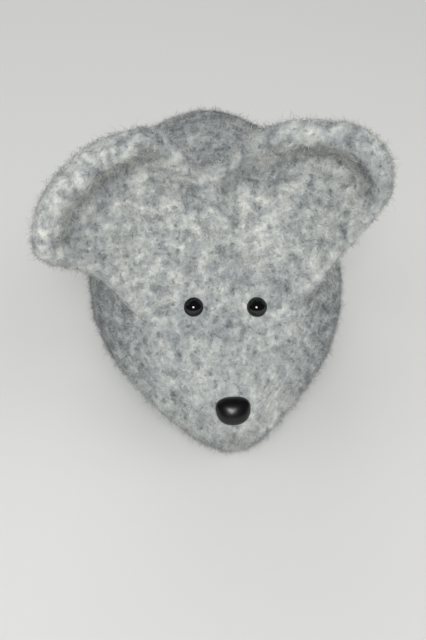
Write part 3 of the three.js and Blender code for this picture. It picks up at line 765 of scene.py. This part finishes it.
# %% [markdown]
# ## The ears
# An ear's points are a profile from the middle of its cupped front, over the round rim, to the middle of its
# back, carried round the outline. A Solidify modifier could thicken one sheet, but it would leave a square
# edge where felt has a full one. Close to the head the points are drawn to the shared distance, and what
# lies deeper stays hidden in the head. Shrunken edge stitches stand up along the rim as pale knobs.

# %% Sheet of an ear
EAR_COLUMNS, EAR_ROWS, RIM_ROWS = 288, 56, 24
EDGE_STITCHES = 18
RIM_OUTWARDS, RIM_FORWARDS = (0.72, 0.92), (-0.5, 0.3)
KNOB_WANDER, KNOB_WANDER_SIZE = 0.35, 5.0
KNOB_FROM, KNOB_FULL = -0.1, 0.75
KNOB_STRENGTH, KNOB_TUFTS = (0.75, 0.6, 8.0), (0.8, 0.5, 2.2)


def ear_sheet(ear):
    """Points of an ear in its own along, up and front directions, as rings from the middle of its front over
    the rim to the middle of its back. Half the thickness stands on each side of the cup, and half a circle
    joins both round the rim. With them goes the share of each point in the front of the rim."""
    way = cut_edge(ear["edge"], EAR_COLUMNS)[:, :2] - np.array([0, EAR_MIDDLE])
    angle = np.arctan2(way[:, 1], way[:, 0])
    reach, free = at_angle(ear, "reach", angle), at_angle(ear, "free", angle)
    steps = np.arange(1, EAR_ROWS + 1) / EAR_ROWS
    turn = np.pi / 2 - np.pi * np.arange(1, RIM_ROWS) / RIM_ROWS
    t = np.concatenate([steps, np.ones(RIM_ROWS - 1), steps[::-1]])[:, None]
    turn = np.concatenate([np.full(EAR_ROWS, np.pi / 2), turn, np.full(EAR_ROWS, -np.pi / 2)])[:, None]
    slope = ear_slope(ear, t, angle)
    size = np.hypot(1, slope)
    half = ear_half(ear, t, angle)
    c, s = np.cos(turn) * half, np.sin(turn) * half
    out = t * reach + (c - s * slope) / size
    front = ear_depth(ear, t, angle) + (s + c * slope) / size
    grid = np.stack([np.cos(angle) * out, EAR_MIDDLE + np.sin(angle) * out, front], -1)
    front_pole, back_pole = ([0, EAR_MIDDLE, face * EAR_HALF - EAR_CUP] for face in (1, -1))
    rim = free * smooth_step(*RIM_OUTWARDS, t) * smooth_step(*RIM_FORWARDS, np.sin(turn))
    return skin_points(front_pole, grid, back_pole), np.concatenate([[0], rim.ravel(), [0]])


def uneven(points, middle, swing, size, seed):
    """A share that wanders round its middle by noise of that swing and size, kept between 0 and 1."""
    return np.clip(middle + swing * wool_noise(points, size, seed), 0, 1)


def edge_knobs(points, rim, seed, joined):
    """Pale knobs where the shrunken edge stitches stand up along the rim: humps of a cosine along the
    outline, pushed about by noise and each of its own strength. Where they are joined, the gaps between them
    fill up."""
    stitch = np.arange(EAR_COLUMNS) / EAR_COLUMNS * EDGE_STITCHES
    stitch = np.concatenate([[0], np.tile(stitch, (len(points) - 2) // EAR_COLUMNS), [0]])
    stitch = stitch + KNOB_WANDER * wool_noise(points, KNOB_WANDER_SIZE, seed)
    humps = smooth_step(KNOB_FROM - joined, KNOB_FULL - joined, np.cos(2 * np.pi * stitch))
    strength = uneven(points, *KNOB_STRENGTH, seed + 1)
    return rim * humps * strength * uneven(points, *KNOB_TUFTS, seed + 2)


print("an ear has", 2 * EAR_ROWS + RIM_ROWS - 1, "rings of", EAR_COLUMNS, "points")

# %% Make the ears
KNOB_HEIGHT, KNOB_PALE, KNOB_JOINED = 0.3, 0.32, 0.3
RIM_PALE, WORN_OVER, WORN_GREY, PALEST = 0.05, 12, 0.07, 1.2


def make_ear(name, ear, own, seed, joined, worn_from):
    """One ear on the head: the sheet set on its root, settled on the shared distance near the head, tucked
    under its neighbours there, and covered with nubs. Outwards of a place along the ear the pale rim is worn
    grey."""
    sheet, rim = ear_sheet(ear)
    quads, fans = skin_faces(2 * EAR_ROWS + RIM_ROWS - 1, EAR_COLUMNS)
    if ear["side"] < 0:
        quads, fans = quads[:, ::-1], fans[:, ::-1]
    points = settled(ear["middle"] + sheet @ ear["basis"], own)
    points = tucked(points, surface_normals(points, quads, fans), own)
    knobs = edge_knobs(points, rim, seed, joined)
    height = nubs(points) + KNOB_HEIGHT * knobs
    worn = smooth_step(worn_from, worn_from + WORN_OVER, (points - ear["middle"]) @ ear["along"])
    pale = RIM_PALE * rim + (KNOB_PALE - KNOB_JOINED * joined) * knobs
    tone = np.clip(heather(points) + pale * (1 - worn) - WORN_GREY * rim * worn, 0, PALEST)
    points = points + height[:, None] * surface_normals(points, quads, fans)
    return felt_mesh(name, points, quads, fans, tone, height), points, quads, fans, tone


def hang_ear(piece):
    """Bakes the piece's placement into its points."""
    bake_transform(piece)


# For each side the form, its number among the distances, the knobs' seed, how far they are joined, and
# where along the ear the rim begins to be worn.
FORMS = {"left": (left_form, LEFT, 41, 0.35, -15.0), "right": (right_form, RIGHT, 67, 0.0, 40.0)}
ears = {side: make_ear(f"{side}_ear_felt", *parts) for side, parts in FORMS.items()}
for side, (piece, points, *_) in ears.items():
    hang_ear(piece)
    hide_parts(f"{side}_ear")
    print(piece.name, "reaches", points[:, 2].max().round(1), "mm high")

# %% [markdown]
# ## Felt as a material
# The wool is a blend of pale, grey and dark fibres, so its colour is a heather of small tufts. A picture of
# felt could be wrapped round the mouse, but a tone worked out for every point and noise on the piece's own
# coordinates need no picture, and they run on from body to ear. Pale wool shows most on the rolled rims.
# The tone also carries painted light on the brow and painted shade on the flanks and the rump. Painted shade
# darkens small pits and the hollows between the nubs, and painted light makes the raised nubs paler. All the
# finishes below are put together from the same few steps, so these come first.


# %% Steps of a finish
def add_node(nodes, kind, **settings):
    """A node of that kind, with its settings and the default values of its inputs."""
    node = nodes.new(kind)
    for key, value in settings.items():
        if key in node.inputs:
            node.inputs[key].default_value = value
        else:
            setattr(node, key, value)
    return node


def ranged(nodes, links, source, low, high):
    """A number from 0 to 1 carried over to the range from low to high."""
    node = add_node(nodes, "ShaderNodeMapRange", **{"To Min": low, "To Max": high})
    links.new(source, node.inputs["Value"])
    return node.outputs[0]


class Finish:
    """A material in the making. What is the same all over the surface is set on the shader's own sockets."""

    def __init__(self, name, sockets):
        self.made = bpy.data.materials.new(name)
        self.made.use_nodes = True
        self.nodes, self.links = self.made.node_tree.nodes, self.made.node_tree.links
        self.shader = self.nodes["Principled BSDF"]
        for socket, value in sockets.items():
            self.shader.inputs[socket].default_value = value

    def kept(self, name):
        """The number that each point keeps under that name."""
        return add_node(self.nodes, "ShaderNodeAttribute", attribute_name=name).outputs["Fac"]

    def speckle(self, scale, detail, rough, stretch=None, **settings):
        """Noise from 0 to 1 on the piece's own coordinates; the stretch draws it out."""
        place = self.nodes.new("ShaderNodeTexCoord").outputs["Object"]
        if stretch:
            drawn = add_node(self.nodes, "ShaderNodeMapping", Scale=stretch)
            self.links.new(place, drawn.inputs["Vector"])
            place = drawn.outputs[0]
        settings.update(Scale=scale, Detail=detail, Roughness=rough)
        grain = add_node(self.nodes, "ShaderNodeTexNoise", **settings)
        self.links.new(place, grain.inputs["Vector"])
        return grain.outputs["Fac"]

    def blend(self, share, first, second, kind="MIX"):
        """Two colours or numbers mixed by a share that is the same all over."""
        node = add_node(self.nodes, "ShaderNodeMix", data_type="RGBA", blend_type=kind)
        node.inputs[0].default_value = share
        self.links.new(first, node.inputs[6])
        self.links.new(second, node.inputs[7])
        return node.outputs[2]

    def shades(self, source, stops):
        """A number turned into a colour, by a ramp with a colour at each of its stops."""
        node = self.nodes.new("ShaderNodeValToRGB")
        self.links.new(source, node.inputs[0])
        while len(node.color_ramp.elements) < len(stops):
            node.color_ramp.elements.new(0.5)
        for element, (place, colour) in zip(node.color_ramp.elements, stops):
            element.position = place
            element.color = (*colour, 1)
        return node.outputs[0]

    def colour(self, source):
        """Gives the surface its colour."""
        self.links.new(source, self.shader.inputs["Base Color"])

    def relief(self, source, strength, height):
        """Gives the surface small bumps, of that height in metres."""
        node = add_node(self.nodes, "ShaderNodeBump", Strength=strength, Distance=height)
        self.links.new(source, node.inputs["Height"])
        self.links.new(node.outputs[0], self.shader.inputs["Normal"])


print("steps of a finish:", [step for step in vars(Finish) if not step.startswith("_")])

# %% Felt
WOOL_DARK, WOOL_GREY = (0.190, 0.203, 0.205), (0.303, 0.326, 0.331)
WOOL_LIGHT, WOOL_WHITE = (0.440, 0.458, 0.448), (0.700, 0.706, 0.662)
HEATHER_STOPS = [(0.30, WOOL_DARK), (0.44, WOOL_GREY), (0.58, WOOL_LIGHT), (0.78, WOOL_WHITE)]
# Painted shade of small pits in the felt.
PAINTED_PIT_SHADE_STOPS = [(0.27, (0.55, 0.56, 0.57)), (0.40, (1.0, 1.0, 1.0))]
FLECK_SHARE, RELIEF_SHADE_SHARE = 0.42, 0.10


def heather_felt():
    """The blend's shades by the tone of each tuft, broken by fine flecks, with painted shade in small pits
    and in the hollows, and painted light on the raised nubs.
    """
    finish = Finish("heather_felt", {
        "Roughness": 0.95, "Specular IOR Level": 0.2,
        "Sheen Weight": 0.15, "Sheen Roughness": 0.6, "Sheen Tint": (0.9, 0.92, 0.92, 1),
    })
    flecks = finish.speckle(scale=900.0, detail=2.0, rough=0.6)
    both = finish.blend(FLECK_SHARE, finish.kept("tone"), flecks)
    # Painted shade in the hollows and painted light on the raised nubs, by how far each point is raised.
    both = finish.blend(RELIEF_SHADE_SHARE, both, finish.kept("raised"))
    # Painted shade: small dark spots from a noise stand for shaded pits in the felt.
    pit_shade = finish.shades(finish.speckle(scale=640.0, detail=1.0, rough=0.5), PAINTED_PIT_SHADE_STOPS)
    finish.colour(finish.blend(1.0, finish.shades(both, HEATHER_STOPS), pit_shade, "MULTIPLY"))
    finish.relief(finish.speckle(scale=1700.0, detail=3.0, rough=0.7), strength=0.45, height=0.0004)
    return finish.made


felt = heather_felt()
for piece in (body_felt, *(parts[0] for parts in ears.values())):
    piece.data.materials.append(felt)
print("felt has", len(felt.node_tree.nodes), "nodes")

# %% [markdown]
# ## Loose fibres
# Felt wears a halo of loose wool: a short nap nearly everywhere and a few longer hairs. Blender's hair could
# grow it, but hair is not a mesh and would be lost outside Blender. Here each fibre is a thin closed spindle
# with one bend, and all of them are worked out together. There are four shades, as in the blended wool, and
# each fibre gets painted shade at its root, so that it is deeper in colour there than at its tip.

# %% Roots of the fibres
BODY_FIBRES, EAR_FIBRES = 150000, 36000
TONE_SCATTER = 0.14
draw = np.random.default_rng(7)


def grow(points, quads, fans, tone, count):
    """Roots, ways out and tones of fibres: faces are drawn by their area, and a place in each at random."""
    faces = np.concatenate([quads[:, [0, 1, 2]], quads[:, [0, 2, 3]], fans])
    a, b, c = (points[faces[:, i]] for i in (0, 1, 2))
    area = np.linalg.norm(np.cross(b - a, c - a), axis=1)
    chosen = np.searchsorted(np.cumsum(area) / area.sum(), draw.random(count))
    chosen = np.minimum(chosen, len(faces) - 1)
    u, v = draw.random((2, count, 1))
    flip = u + v > 1
    u, v = np.where(flip, 1 - u, u), np.where(flip, 1 - v, v)
    root = a[chosen] + u * (b - a)[chosen] + v * (c - a)[chosen]
    out = surface_normals(points, quads, fans)[faces[chosen, 0]]
    return root, out, tone[faces[chosen, 0]] + TONE_SCATTER * draw.normal(size=count)


def button_room(roots):
    """How far each root is from the edge of the nearest button."""
    eyes = np.minimum(away_from(roots, left_eye_place), away_from(roots, right_eye_place))
    return np.minimum(eyes - EYE_RADIUS, away_from(roots, nose_place) - NOSE_REACH)


print("fibres to grow:", BODY_FIBRES, "on the body and", EAR_FIBRES, "on each ear")

# %% Form of the fibres
NAP_SHORT, NAP_MORE, STRAY, STRAY_RARE = 0.5, 1.1, 2.6, 10
LEAN_LEAST, LEAN_MORE = 20, 58
ROOM_LEAST, ROOM_SHARE = 0.35, 0.8
THIN, THICKER = 0.026, 0.018
BEND_AT, BEND_SIDE, BEND_OVER = 0.42, 0.16, 0.14
ROOT_UNDER, FLOOR_CLEAR = 0.15, 0.03


def fibre_spindles(root, out, room):
    """Closed spindles of six faces: a point under the felt, a small triangle on the way and a point at the
    end. Each leans over by its own angle and is bent where the triangle sits. Few are long, and none is
    longer than the room beside a button lets it be."""
    count = len(root)
    side = unit(np.cross(out, draw.normal(size=(count, 3))))
    lean = np.radians(LEAN_LEAST + LEAN_MORE * draw.random((count, 1)))
    way = np.cos(lean) * out + np.sin(lean) * side
    across = np.cross(way, out)
    across /= np.maximum(np.linalg.norm(across, axis=1, keepdims=True), 1e-9)
    over = np.cross(across, way)
    length = NAP_SHORT + NAP_MORE * draw.random((count, 1)) ** 2
    length = length + STRAY * draw.random((count, 1)) ** STRAY_RARE
    length = np.minimum(length, ROOM_LEAST + ROOM_SHARE * room[:, None])
    thick = THIN + THICKER * draw.random((count, 1))
    bend = BEND_SIDE * draw.normal(size=(count, 1)) * across + BEND_OVER * over
    middle = root + length * (BEND_AT * way + bend)
    turns = 2 * np.pi * np.arange(3) / 3
    ring = [middle + thick * (np.cos(turn) * across - np.sin(turn) * over) for turn in turns]
    points = np.stack([root - ROOT_UNDER * out, *ring, root + length * way], 1).reshape(-1, 3)
    points[:, 2] = np.maximum(points[:, 2], FLOOR_CLEAR)
    first = 5 * np.arange(count)[:, None]
    lower = [first + np.array([[0, 1 + (j + 1) % 3, 1 + j]]) for j in range(3)]
    upper = [first + np.array([[1 + j, 1 + (j + 1) % 3, 4]]) for j in range(3)]
    return points, np.zeros((0, 4), int), np.concatenate(lower + upper)


print("fibres are", NAP_SHORT, "to", NAP_SHORT + NAP_MORE + STRAY, "mm long")

# %% Coats of fibres
SHADES = {
    "dark": ((0.150, 0.160, 0.162), -9.0, 0.38),
    "grey": ((0.307, 0.330, 0.335), 0.38, 0.51),
    "light": ((0.480, 0.498, 0.488), 0.51, 0.64),
    "white": ((0.750, 0.754, 0.705), 0.64, 9.0),
}
# Painted shade: each fibre is darker at its root than at its tip.
ROOT_SHADE_TO_TIP, TIP_SHARE = ((0.2, 0.76), (0.75, 1.16)), 0.5
BELLY_BARE, EAR_BARE = 0.4, 0.3


def wool_fibre(name, colour):
    """Wool fibre: a dull shade with a soft sheen, which wanders a little from fibre to fibre. Painted shade
    makes it deeper at the root, down in the nap, than at the tip. The blend of shades makes the heather."""
    finish = Finish(name, {"Roughness": 0.8, "Sheen Weight": 0.2, "Specular IOR Level": 0.2})
    dye = finish.speckle(scale=700.0, detail=1.0, rough=0.5)
    both = finish.blend(TIP_SHARE, dye, finish.kept("tip"))
    finish.colour(finish.shades(both, [(at, tuple(share * c for c in colour)) for at, share in ROOT_SHADE_TO_TIP]))
    return finish.made


def coat(name, root, out, tone, fasten):
    """One mesh of fibres for each shade, fastened as the felt under it is."""
    for shade, (_, low, high) in SHADES.items():
        chosen = (tone >= low) & (tone < high)
        spindles = fibre_spindles(root[chosen], out[chosen], button_room(root[chosen]))
        piece = make_mesh(f"{name}_{shade}_fibres", *spindles)
        paint(piece, "tip", np.tile([0, BEND_AT, BEND_AT, BEND_AT, 1], chosen.sum()))
        piece.data.materials.append(fibre_looks[shade])
        fasten(piece)
        print(piece.name, int(chosen.sum()))


fibre_looks = {shade: wool_fibre(f"{shade}_fibre", colour) for shade, (colour, *_) in SHADES.items()}
root, out, tone = grow(felt_body, body_quads, body_fans, body_tone, BODY_FIBRES)
for half, keep in (("front", root[:, 1] < 0), ("rear", root[:, 1] >= 0)):
    keep = keep & (button_room(root) > 0) & (root[:, 2] > BELLY_BARE)
    coat(f"body_{half}", root[keep], out[keep], tone[keep], lambda piece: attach(piece, "body"))
for side, (_, points, quads, fans, ear_tone) in ears.items():
    root, out, tone = grow(points, quads, fans, ear_tone, EAR_FIBRES)
    keep = body_distance(root) > EAR_BARE
    coat(f"{side}_ear", root[keep], out[keep], tone[keep], lambda piece: hang_ear(piece))

# %% [markdown]
# ## Eyes and nose
# The eyes are black plastic domes on a ribbed shank, pushed through the felt and locked inside. The nose is
# made the same way but wider at its top, flatter in front and satin. A sphere could stand in for an eye, but
# the real one is a turned shape with a thin edge that sinks into the felt, so a profile is turned round the
# line that points straight out of the body.

# %% Turned buttons
BUTTON_SIDES = 64
HEAD_BACK, HEAD_EDGE, HEAD_ABOVE, HEAD_OUTSIDE = -0.7, -0.35, -0.5, (1.6, 2.4)
EDGE_FLAT, EDGE_ROUND, EDGE_RISE = 0.3, 0.08, -0.58
RIB_STEPS, RIB_EVERY, RIB_GROOVE, RIBS_END = 13, 4, 0.22, -2.6
DOME_STEPS = 24
NOSE_POWER, NOSE_SQUARE, NOSE_WIDER, NOSE_TAPER, NOSE_LOWER = 2.5, 0.9, 0.17, 0.16, 0.03


def button_profile(radius, dome, shank, length, flatness):
    """Distances from the axis and heights, from the shank's end to the top of the dome: a shank with ribs,
    a thin rounded edge, and a dome whose height follows a sine to the power of the flatness."""
    ribs = np.linspace(-length, RIBS_END, RIB_STEPS)
    grooves = shank - RIB_GROOVE * (np.arange(RIB_STEPS) % RIB_EVERY == 0)
    edge = np.array([[shank, HEAD_BACK], [radius - EDGE_FLAT, HEAD_BACK], [radius - EDGE_ROUND, EDGE_RISE]])
    a = np.linspace(0, np.pi / 2, DOME_STEPS, endpoint=False)
    rise = HEAD_EDGE + (dome - HEAD_EDGE) * np.sin(a) ** flatness
    shank_part = np.stack([grooves, ribs + HEAD_BACK], -1)
    dome_part = np.stack([radius * np.cos(a), rise], -1)
    return np.concatenate([shank_part, edge, dome_part])


def turn_button(name, profile, tip, place, out, widen):
    """The profile turned round the out direction; widen stretches the head of the button sideways and up."""
    across = unit(np.cross(np.array([0, 0, 1.0]), out))
    up = np.cross(out, across)
    angle = 2 * np.pi * np.arange(BUTTON_SIDES) / BUTTON_SIDES
    r, h = profile[:, :1], profile[:, 1:]
    head = np.maximum(smooth_step(*HEAD_OUTSIDE, r), h > HEAD_ABOVE)
    x, y = widen(r * np.cos(angle), r * np.sin(angle), head)
    rings = place + x[..., None] * across + y[..., None] * up + (h + 0 * x)[..., None] * out
    points = skin_points(place + profile[0, 1] * out, rings, place + tip * out)
    return make_mesh(name, points, *skin_faces(len(profile), BUTTON_SIDES))


def round_eye(x, y, head):
    """An eye stays round."""
    return x, y


def nose_outline(x, y, head):
    """A wider top and a narrower, rounder bottom; the shank stays round. The outline is a circle squared up:
    the sum of cosine and sine to a power is kept at 1, and its width grows with the sine of the angle."""
    angle = np.arctan2(y, x)
    corners = np.abs(np.cos(angle)) ** NOSE_POWER + np.abs(np.sin(angle)) ** NOSE_POWER
    square = 1 + (corners ** (-1 / NOSE_POWER) - 1) * head * NOSE_SQUARE
    taper = 1 + head * (NOSE_WIDER + NOSE_TAPER * np.sin(angle))
    return x * square * taper, y * square * (1 - NOSE_LOWER * head)


EYE_DOME, NOSE_DOME = 2.3, 2.6
eye_shape = button_profile(radius=EYE_RADIUS, dome=EYE_DOME, shank=1.1, length=8.0, flatness=1.0)
nose_shape = button_profile(radius=3.9, dome=NOSE_DOME, shank=1.4, length=9.0, flatness=0.8)
left_eye = turn_button("left_eye_dome", eye_shape, EYE_DOME, left_eye_place, left_eye_out, round_eye)
right_eye = turn_button("right_eye_dome", eye_shape, EYE_DOME, right_eye_place, right_eye_out, round_eye)
nose = turn_button("nose_button", nose_shape, NOSE_DOME, nose_place, nose_out, nose_outline)
print("buttons:", left_eye.name, right_eye.name, nose.name)

# %% [markdown]
# Black plastic is not one flat black: the eyes have a clear, glassy surface over faint dust, and the nose a
# satin one whose gloss is broken by the mould. One even roughness could do for a far view. Noise in the
# roughness and in the colour serves both close up.

# %% Black plastic
PLASTIC_BLACK, DUST = (0.002, 0.002, 0.0025), 1.9
GLOSS_SPREAD = 0.02


def black_plastic(name, rough, shine):
    """Black plastic with a faint dust, whose roughness wanders a little to both sides."""
    finish = Finish(name, {"Specular IOR Level": shine})
    cloud = finish.speckle(scale=900.0, detail=4.0, rough=0.6)
    gloss = ranged(finish.nodes, finish.links, cloud, rough - GLOSS_SPREAD, rough + GLOSS_SPREAD)
    finish.links.new(gloss, finish.shader.inputs["Roughness"])
    dusty = tuple(DUST * c for c in PLASTIC_BLACK)
    finish.colour(finish.shades(cloud, [(0.35, PLASTIC_BLACK), (0.8, dusty)]))
    return finish.made


eye_black = black_plastic("eye_black", rough=0.06, shine=0.6)
nose_black = black_plastic("nose_black", rough=0.30, shine=0.5)
for piece, look, node, slot in (
    (left_eye, eye_black, "left_eye", "black_gloss"),
    (right_eye, eye_black, "right_eye", "black_gloss"),
    (nose, nose_black, "nose", "black_satin"),
):
    piece.data.materials.append(look)
    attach(piece, "body")
    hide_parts(node)
    print(piece.name, "in", look.name)

# %% [markdown]
# ## The whipped seam
# The slit through which the mouse was stuffed is closed at the rump by one yarn that goes round and round
# through both lips. It could be drawn as a bevelled curve, but real yarn is two strands twisted together, so
# each strand is a tube carried along a spiral that itself runs round the stitches.

# %% Line of the seam
YARN_STEPS = 900
REAR_FROM, RUMP_FROM = 25, 40
SEAM_SMOOTH = 30
SEAM_UNDER = 2.0


def seam_path():
    """The line of the closed slit up the rump, two millimetres under the felt, and the way out of it. It
    follows the middle columns of the body's rings, under the tip and over it, smoothed by a running mean."""
    grid = smooth_body[1:-1].reshape(BODY_RINGS, BODY_SIDES, 3)
    rear = grid[:, 0, 1] > REAR_FROM
    under, over = grid[rear, 0], grid[rear, BODY_SIDES // 2][::-1]
    line = np.concatenate([under, over])[:, 1:]
    start = np.argmin(np.abs(under[:, 2] - SEAM_LOW) + 50 * (under[:, 1] < RUMP_FROM))
    stop = len(under) + np.argmin(np.abs(over[:, 2] - SEAM_HIGH))
    line = line[start:stop + 1]
    run = np.concatenate([[0], np.cumsum(np.linalg.norm(np.diff(line, axis=0), axis=1))])
    at = np.linspace(0, run[-1], YARN_STEPS)
    y, z = (np.interp(at, run, line[:, k]) for k in (0, 1))
    kernel = np.ones(2 * SEAM_SMOOTH + 1) / (2 * SEAM_SMOOTH + 1)
    y, z = (np.convolve(np.pad(v, SEAM_SMOOTH, mode="edge"), kernel, mode="valid") for v in (y, z))
    way = unit(np.stack([np.gradient(y), np.gradient(z)], -1))
    out = np.stack([0 * y, way[:, 1], -way[:, 0]], -1)
    return np.stack([0 * y, y, z], -1) - SEAM_UNDER * out, out


seam_line, seam_out = seam_path()
print("seam runs from", seam_line[0].round(1), "to", seam_line[-1].round(1))

# %% Stitches
STITCH_ROUND, STRAND_OFF, STRAND_HALF = 2.6, 0.34, 0.42
STRAND_TWISTS, STRAND_SIDES = 40, 10


def tube(path, normal, radius, sides):
    """Rings of points round a path, each in the plane across it, with a point at each end."""
    way = unit(np.gradient(path, axis=0))
    first = unit(normal - np.sum(normal * way, 1, keepdims=True) * way)
    second = np.cross(way, first)
    angle = 2 * np.pi * np.arange(sides) / sides
    ring = np.cos(angle)[None, :, None] * first[:, None] + np.sin(angle)[None, :, None] * second[:, None]
    return skin_points(path[0], path[:, None] + radius * ring, path[-1]), *skin_faces(len(path), sides)


share = np.linspace(0, 1, YARN_STEPS)[:, None]
turn = 2 * np.pi * (STITCHES * share + 0.5)
away = np.cos(turn) * seam_out + np.sin(turn) * np.array([1.0, 0, 0])
yarn_middle = seam_line + STITCH_ROUND * away
beside = np.cross(unit(np.gradient(yarn_middle, axis=0)), away)
strands = []
for half_turn in (0.0, np.pi):
    twist = 2 * np.pi * STRAND_TWISTS * share + half_turn
    centre = yarn_middle + STRAND_OFF * (np.cos(twist) * away + np.sin(twist) * beside)
    strands.append(tube(centre, away, STRAND_HALF, STRAND_SIDES))
first, second = strands
points = np.concatenate([first[0], second[0]])
quads, fans = (np.concatenate([first[k], second[k] + len(first[0])]) for k in (1, 2))
stitches = make_mesh("seam_stitches", points, quads, fans)
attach(stitches, "body")
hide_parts("closing_stitches")
print("seam:", STITCHES, "stitches of", len(strands), "strands")

# %% Yarn
YARN_STOPS = [(0.35, (0.16, 0.168, 0.165)), (0.65, (0.42, 0.44, 0.43))]


def spun_yarn():
    """Spun fibre: fine streaks of two shades along the strand and a small relief from the same noise."""
    finish = Finish("grey_yarn", {"Roughness": 0.9, "Sheen Weight": 0.2, "Specular IOR Level": 0.2})
    hairs = finish.speckle(scale=1500.0, detail=4.0, rough=0.7, Distortion=0.8)
    finish.colour(finish.shades(hairs, YARN_STOPS))
    finish.relief(hairs, strength=0.5, height=0.0003)
    return finish.made


grey_yarn = spun_yarn()
stitches.data.materials.append(grey_yarn)
print("yarn has", len(grey_yarn.node_tree.nodes), "nodes")

# %% [markdown]
# ## What the mouse holds inside
# The washers, the sewing yarn, the fibrefill and the sachet of dried leaf are shut in by the felt. They
# could be left out, since no view shows them, but whoever cuts the mouse open finds them there. They stay as
# the solid model has them and get materials of their own: milky plastic, spun wool, loose fibre, woven
# muslin, twisted string and crumbled leaf.

# %% Finishes of the inner pieces
WASHER = [(0.62, 0.62, 0.6), (0.68, 0.68, 0.66), (0.72, 0.72, 0.7)]
FIBREFILL = [(0.74, 0.74, 0.72), (0.84, 0.84, 0.82), (0.9, 0.9, 0.89)]
MUSLIN = [(0.62, 0.57, 0.46), (0.72, 0.67, 0.56), (0.8, 0.75, 0.64)]
LEAF = [(0.1, 0.12, 0.045), (0.18, 0.2, 0.08), (0.3, 0.3, 0.15)]
STRING = [(0.55, 0.49, 0.36), (0.68, 0.62, 0.48), (0.76, 0.7, 0.57)]
GRAIN_STOPS = (0.3, 0.5, 0.7)


def grained(name, colours, scale, rough, relief_height, stretch=None):
    """Noise between three colours, with a relief from the same noise; the stretch draws the grain out."""
    finish = Finish(name, {"Roughness": rough})
    grain = finish.speckle(scale, detail=5.0, rough=0.65, stretch=stretch)
    finish.colour(finish.shades(grain, list(zip(GRAIN_STOPS, colours))))
    finish.relief(grain, strength=0.6, height=relief_height)
    return finish.made


INNER = {
    grained("milky_plastic", WASHER, 300.0, 0.4, 0.00005): [
        "left_eye_washer", "right_eye_washer", "nose_washer",
    ],
    grey_yarn: ["left_ear_yarn", "right_ear_yarn"],
    grained("fibrefill", FIBREFILL, 350.0, 1.0, 0.0006): ["front_stuffing", "rear_stuffing"],
    grained("muslin", MUSLIN, 900.0, 0.95, 0.0002, (1, 3, 1)): ["catnip_pouch"],
    grained("dried_leaf", LEAF, 600.0, 1.0, 0.0008): ["catnip"],
    grained("cotton_string", STRING, 1600.0, 0.9, 0.0002): ["pouch_tie"],
}
for look, names in INNER.items():
    for name in names:
        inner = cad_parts[name].data
        inner.materials.clear()
        inner.materials.append(look)
print("inner pieces:", sum(len(names) for names in INNER.values()))

# %% [markdown]
# ## Floor and light
# The mouse sits on a plain pale floor. One large soft lamp above the camera models the face and the cupped
# ears, and three more fill the two sides and the back. A single lamp could do, but the sides would go black.
# A small lamp near the camera, narrowed to keep off the far floor, puts the bright dot in each eye. The sky
# only lifts the shadows, and it is dimmer in reflections, so that black plastic stays black.

# %% Floor
FLOOR_HALF = 3000.0
FLOOR_COLOUR = (0.74, 0.735, 0.715, 1)

corners = np.array([[-1, -1, 0], [1, -1, 0], [1, 1, 0], [-1, 1, 0]]) * FLOOR_HALF
floor = make_mesh("floor", corners, np.array([[0, 1, 2, 3]]), np.zeros((0, 3), int))
floor.data.materials.append(Finish("pale_floor", {"Base Color": FLOOR_COLOUR, "Roughness": 0.75}).made)
print("floor is", 2 * FLOOR_HALF * MM, "m wide")

# %% Lamps
AIM = np.array([0.0, -10.0, 35.0])
SOFT_SIZE = 735
SOFT_LAMPS = {
    "key": ((-70, -750, 735), 3.0),
    "left_side": ((840, -105, 630), 1.35),
    "right_side": ((-840, 105, 630), 1.1),
    "back": ((-150, 1000, 520), 3.3),
}
FRONT_PLACE, FRONT_SIZE, FRONT_POWER, FRONT_SPREAD = (-87, -891, 669), 345, 2.15, np.radians(110)


def lamp(name, place, size, power, shape="SQUARE"):
    """A soft lamp at a place in millimetres that points at the mouse."""
    data = bpy.data.lights.new(name, "AREA")
    data.shape = shape
    data.size = size * MM
    data.energy = power
    made = bpy.data.objects.new(name, data)
    bpy.context.scene.collection.objects.link(made)
    made.location = np.array(place) * MM
    made.rotation_euler = looking(AIM - np.array(place))
    return made


for name, (place, power) in SOFT_LAMPS.items():
    lamp(name, place, SOFT_SIZE, power).visible_glossy = False
lamp("front", FRONT_PLACE, FRONT_SIZE, FRONT_POWER, "DISK").data.spread = FRONT_SPREAD

# %% Sky
SKY_COLOUR = (0.97, 0.985, 1.0, 1)
SKY_STRENGTH, SKY_MIRRORED = 0.31, 0.06

world = bpy.data.worlds.new("sky")
bpy.context.scene.world = world
world.use_nodes = True
nodes, links = world.node_tree.nodes, world.node_tree.links
nodes["Background"].inputs["Color"].default_value = SKY_COLOUR
mirrored = nodes.new("ShaderNodeLightPath").outputs["Is Glossy Ray"]
strength = ranged(nodes, links, mirrored, SKY_STRENGTH, SKY_MIRRORED)
links.new(strength, nodes["Background"].inputs["Strength"])
print("sky strength:", SKY_STRENGTH)

# %% [markdown]
# ## Sizes
# Loose wool may stand a little proud of the solid model, but the mouse keeps its size.
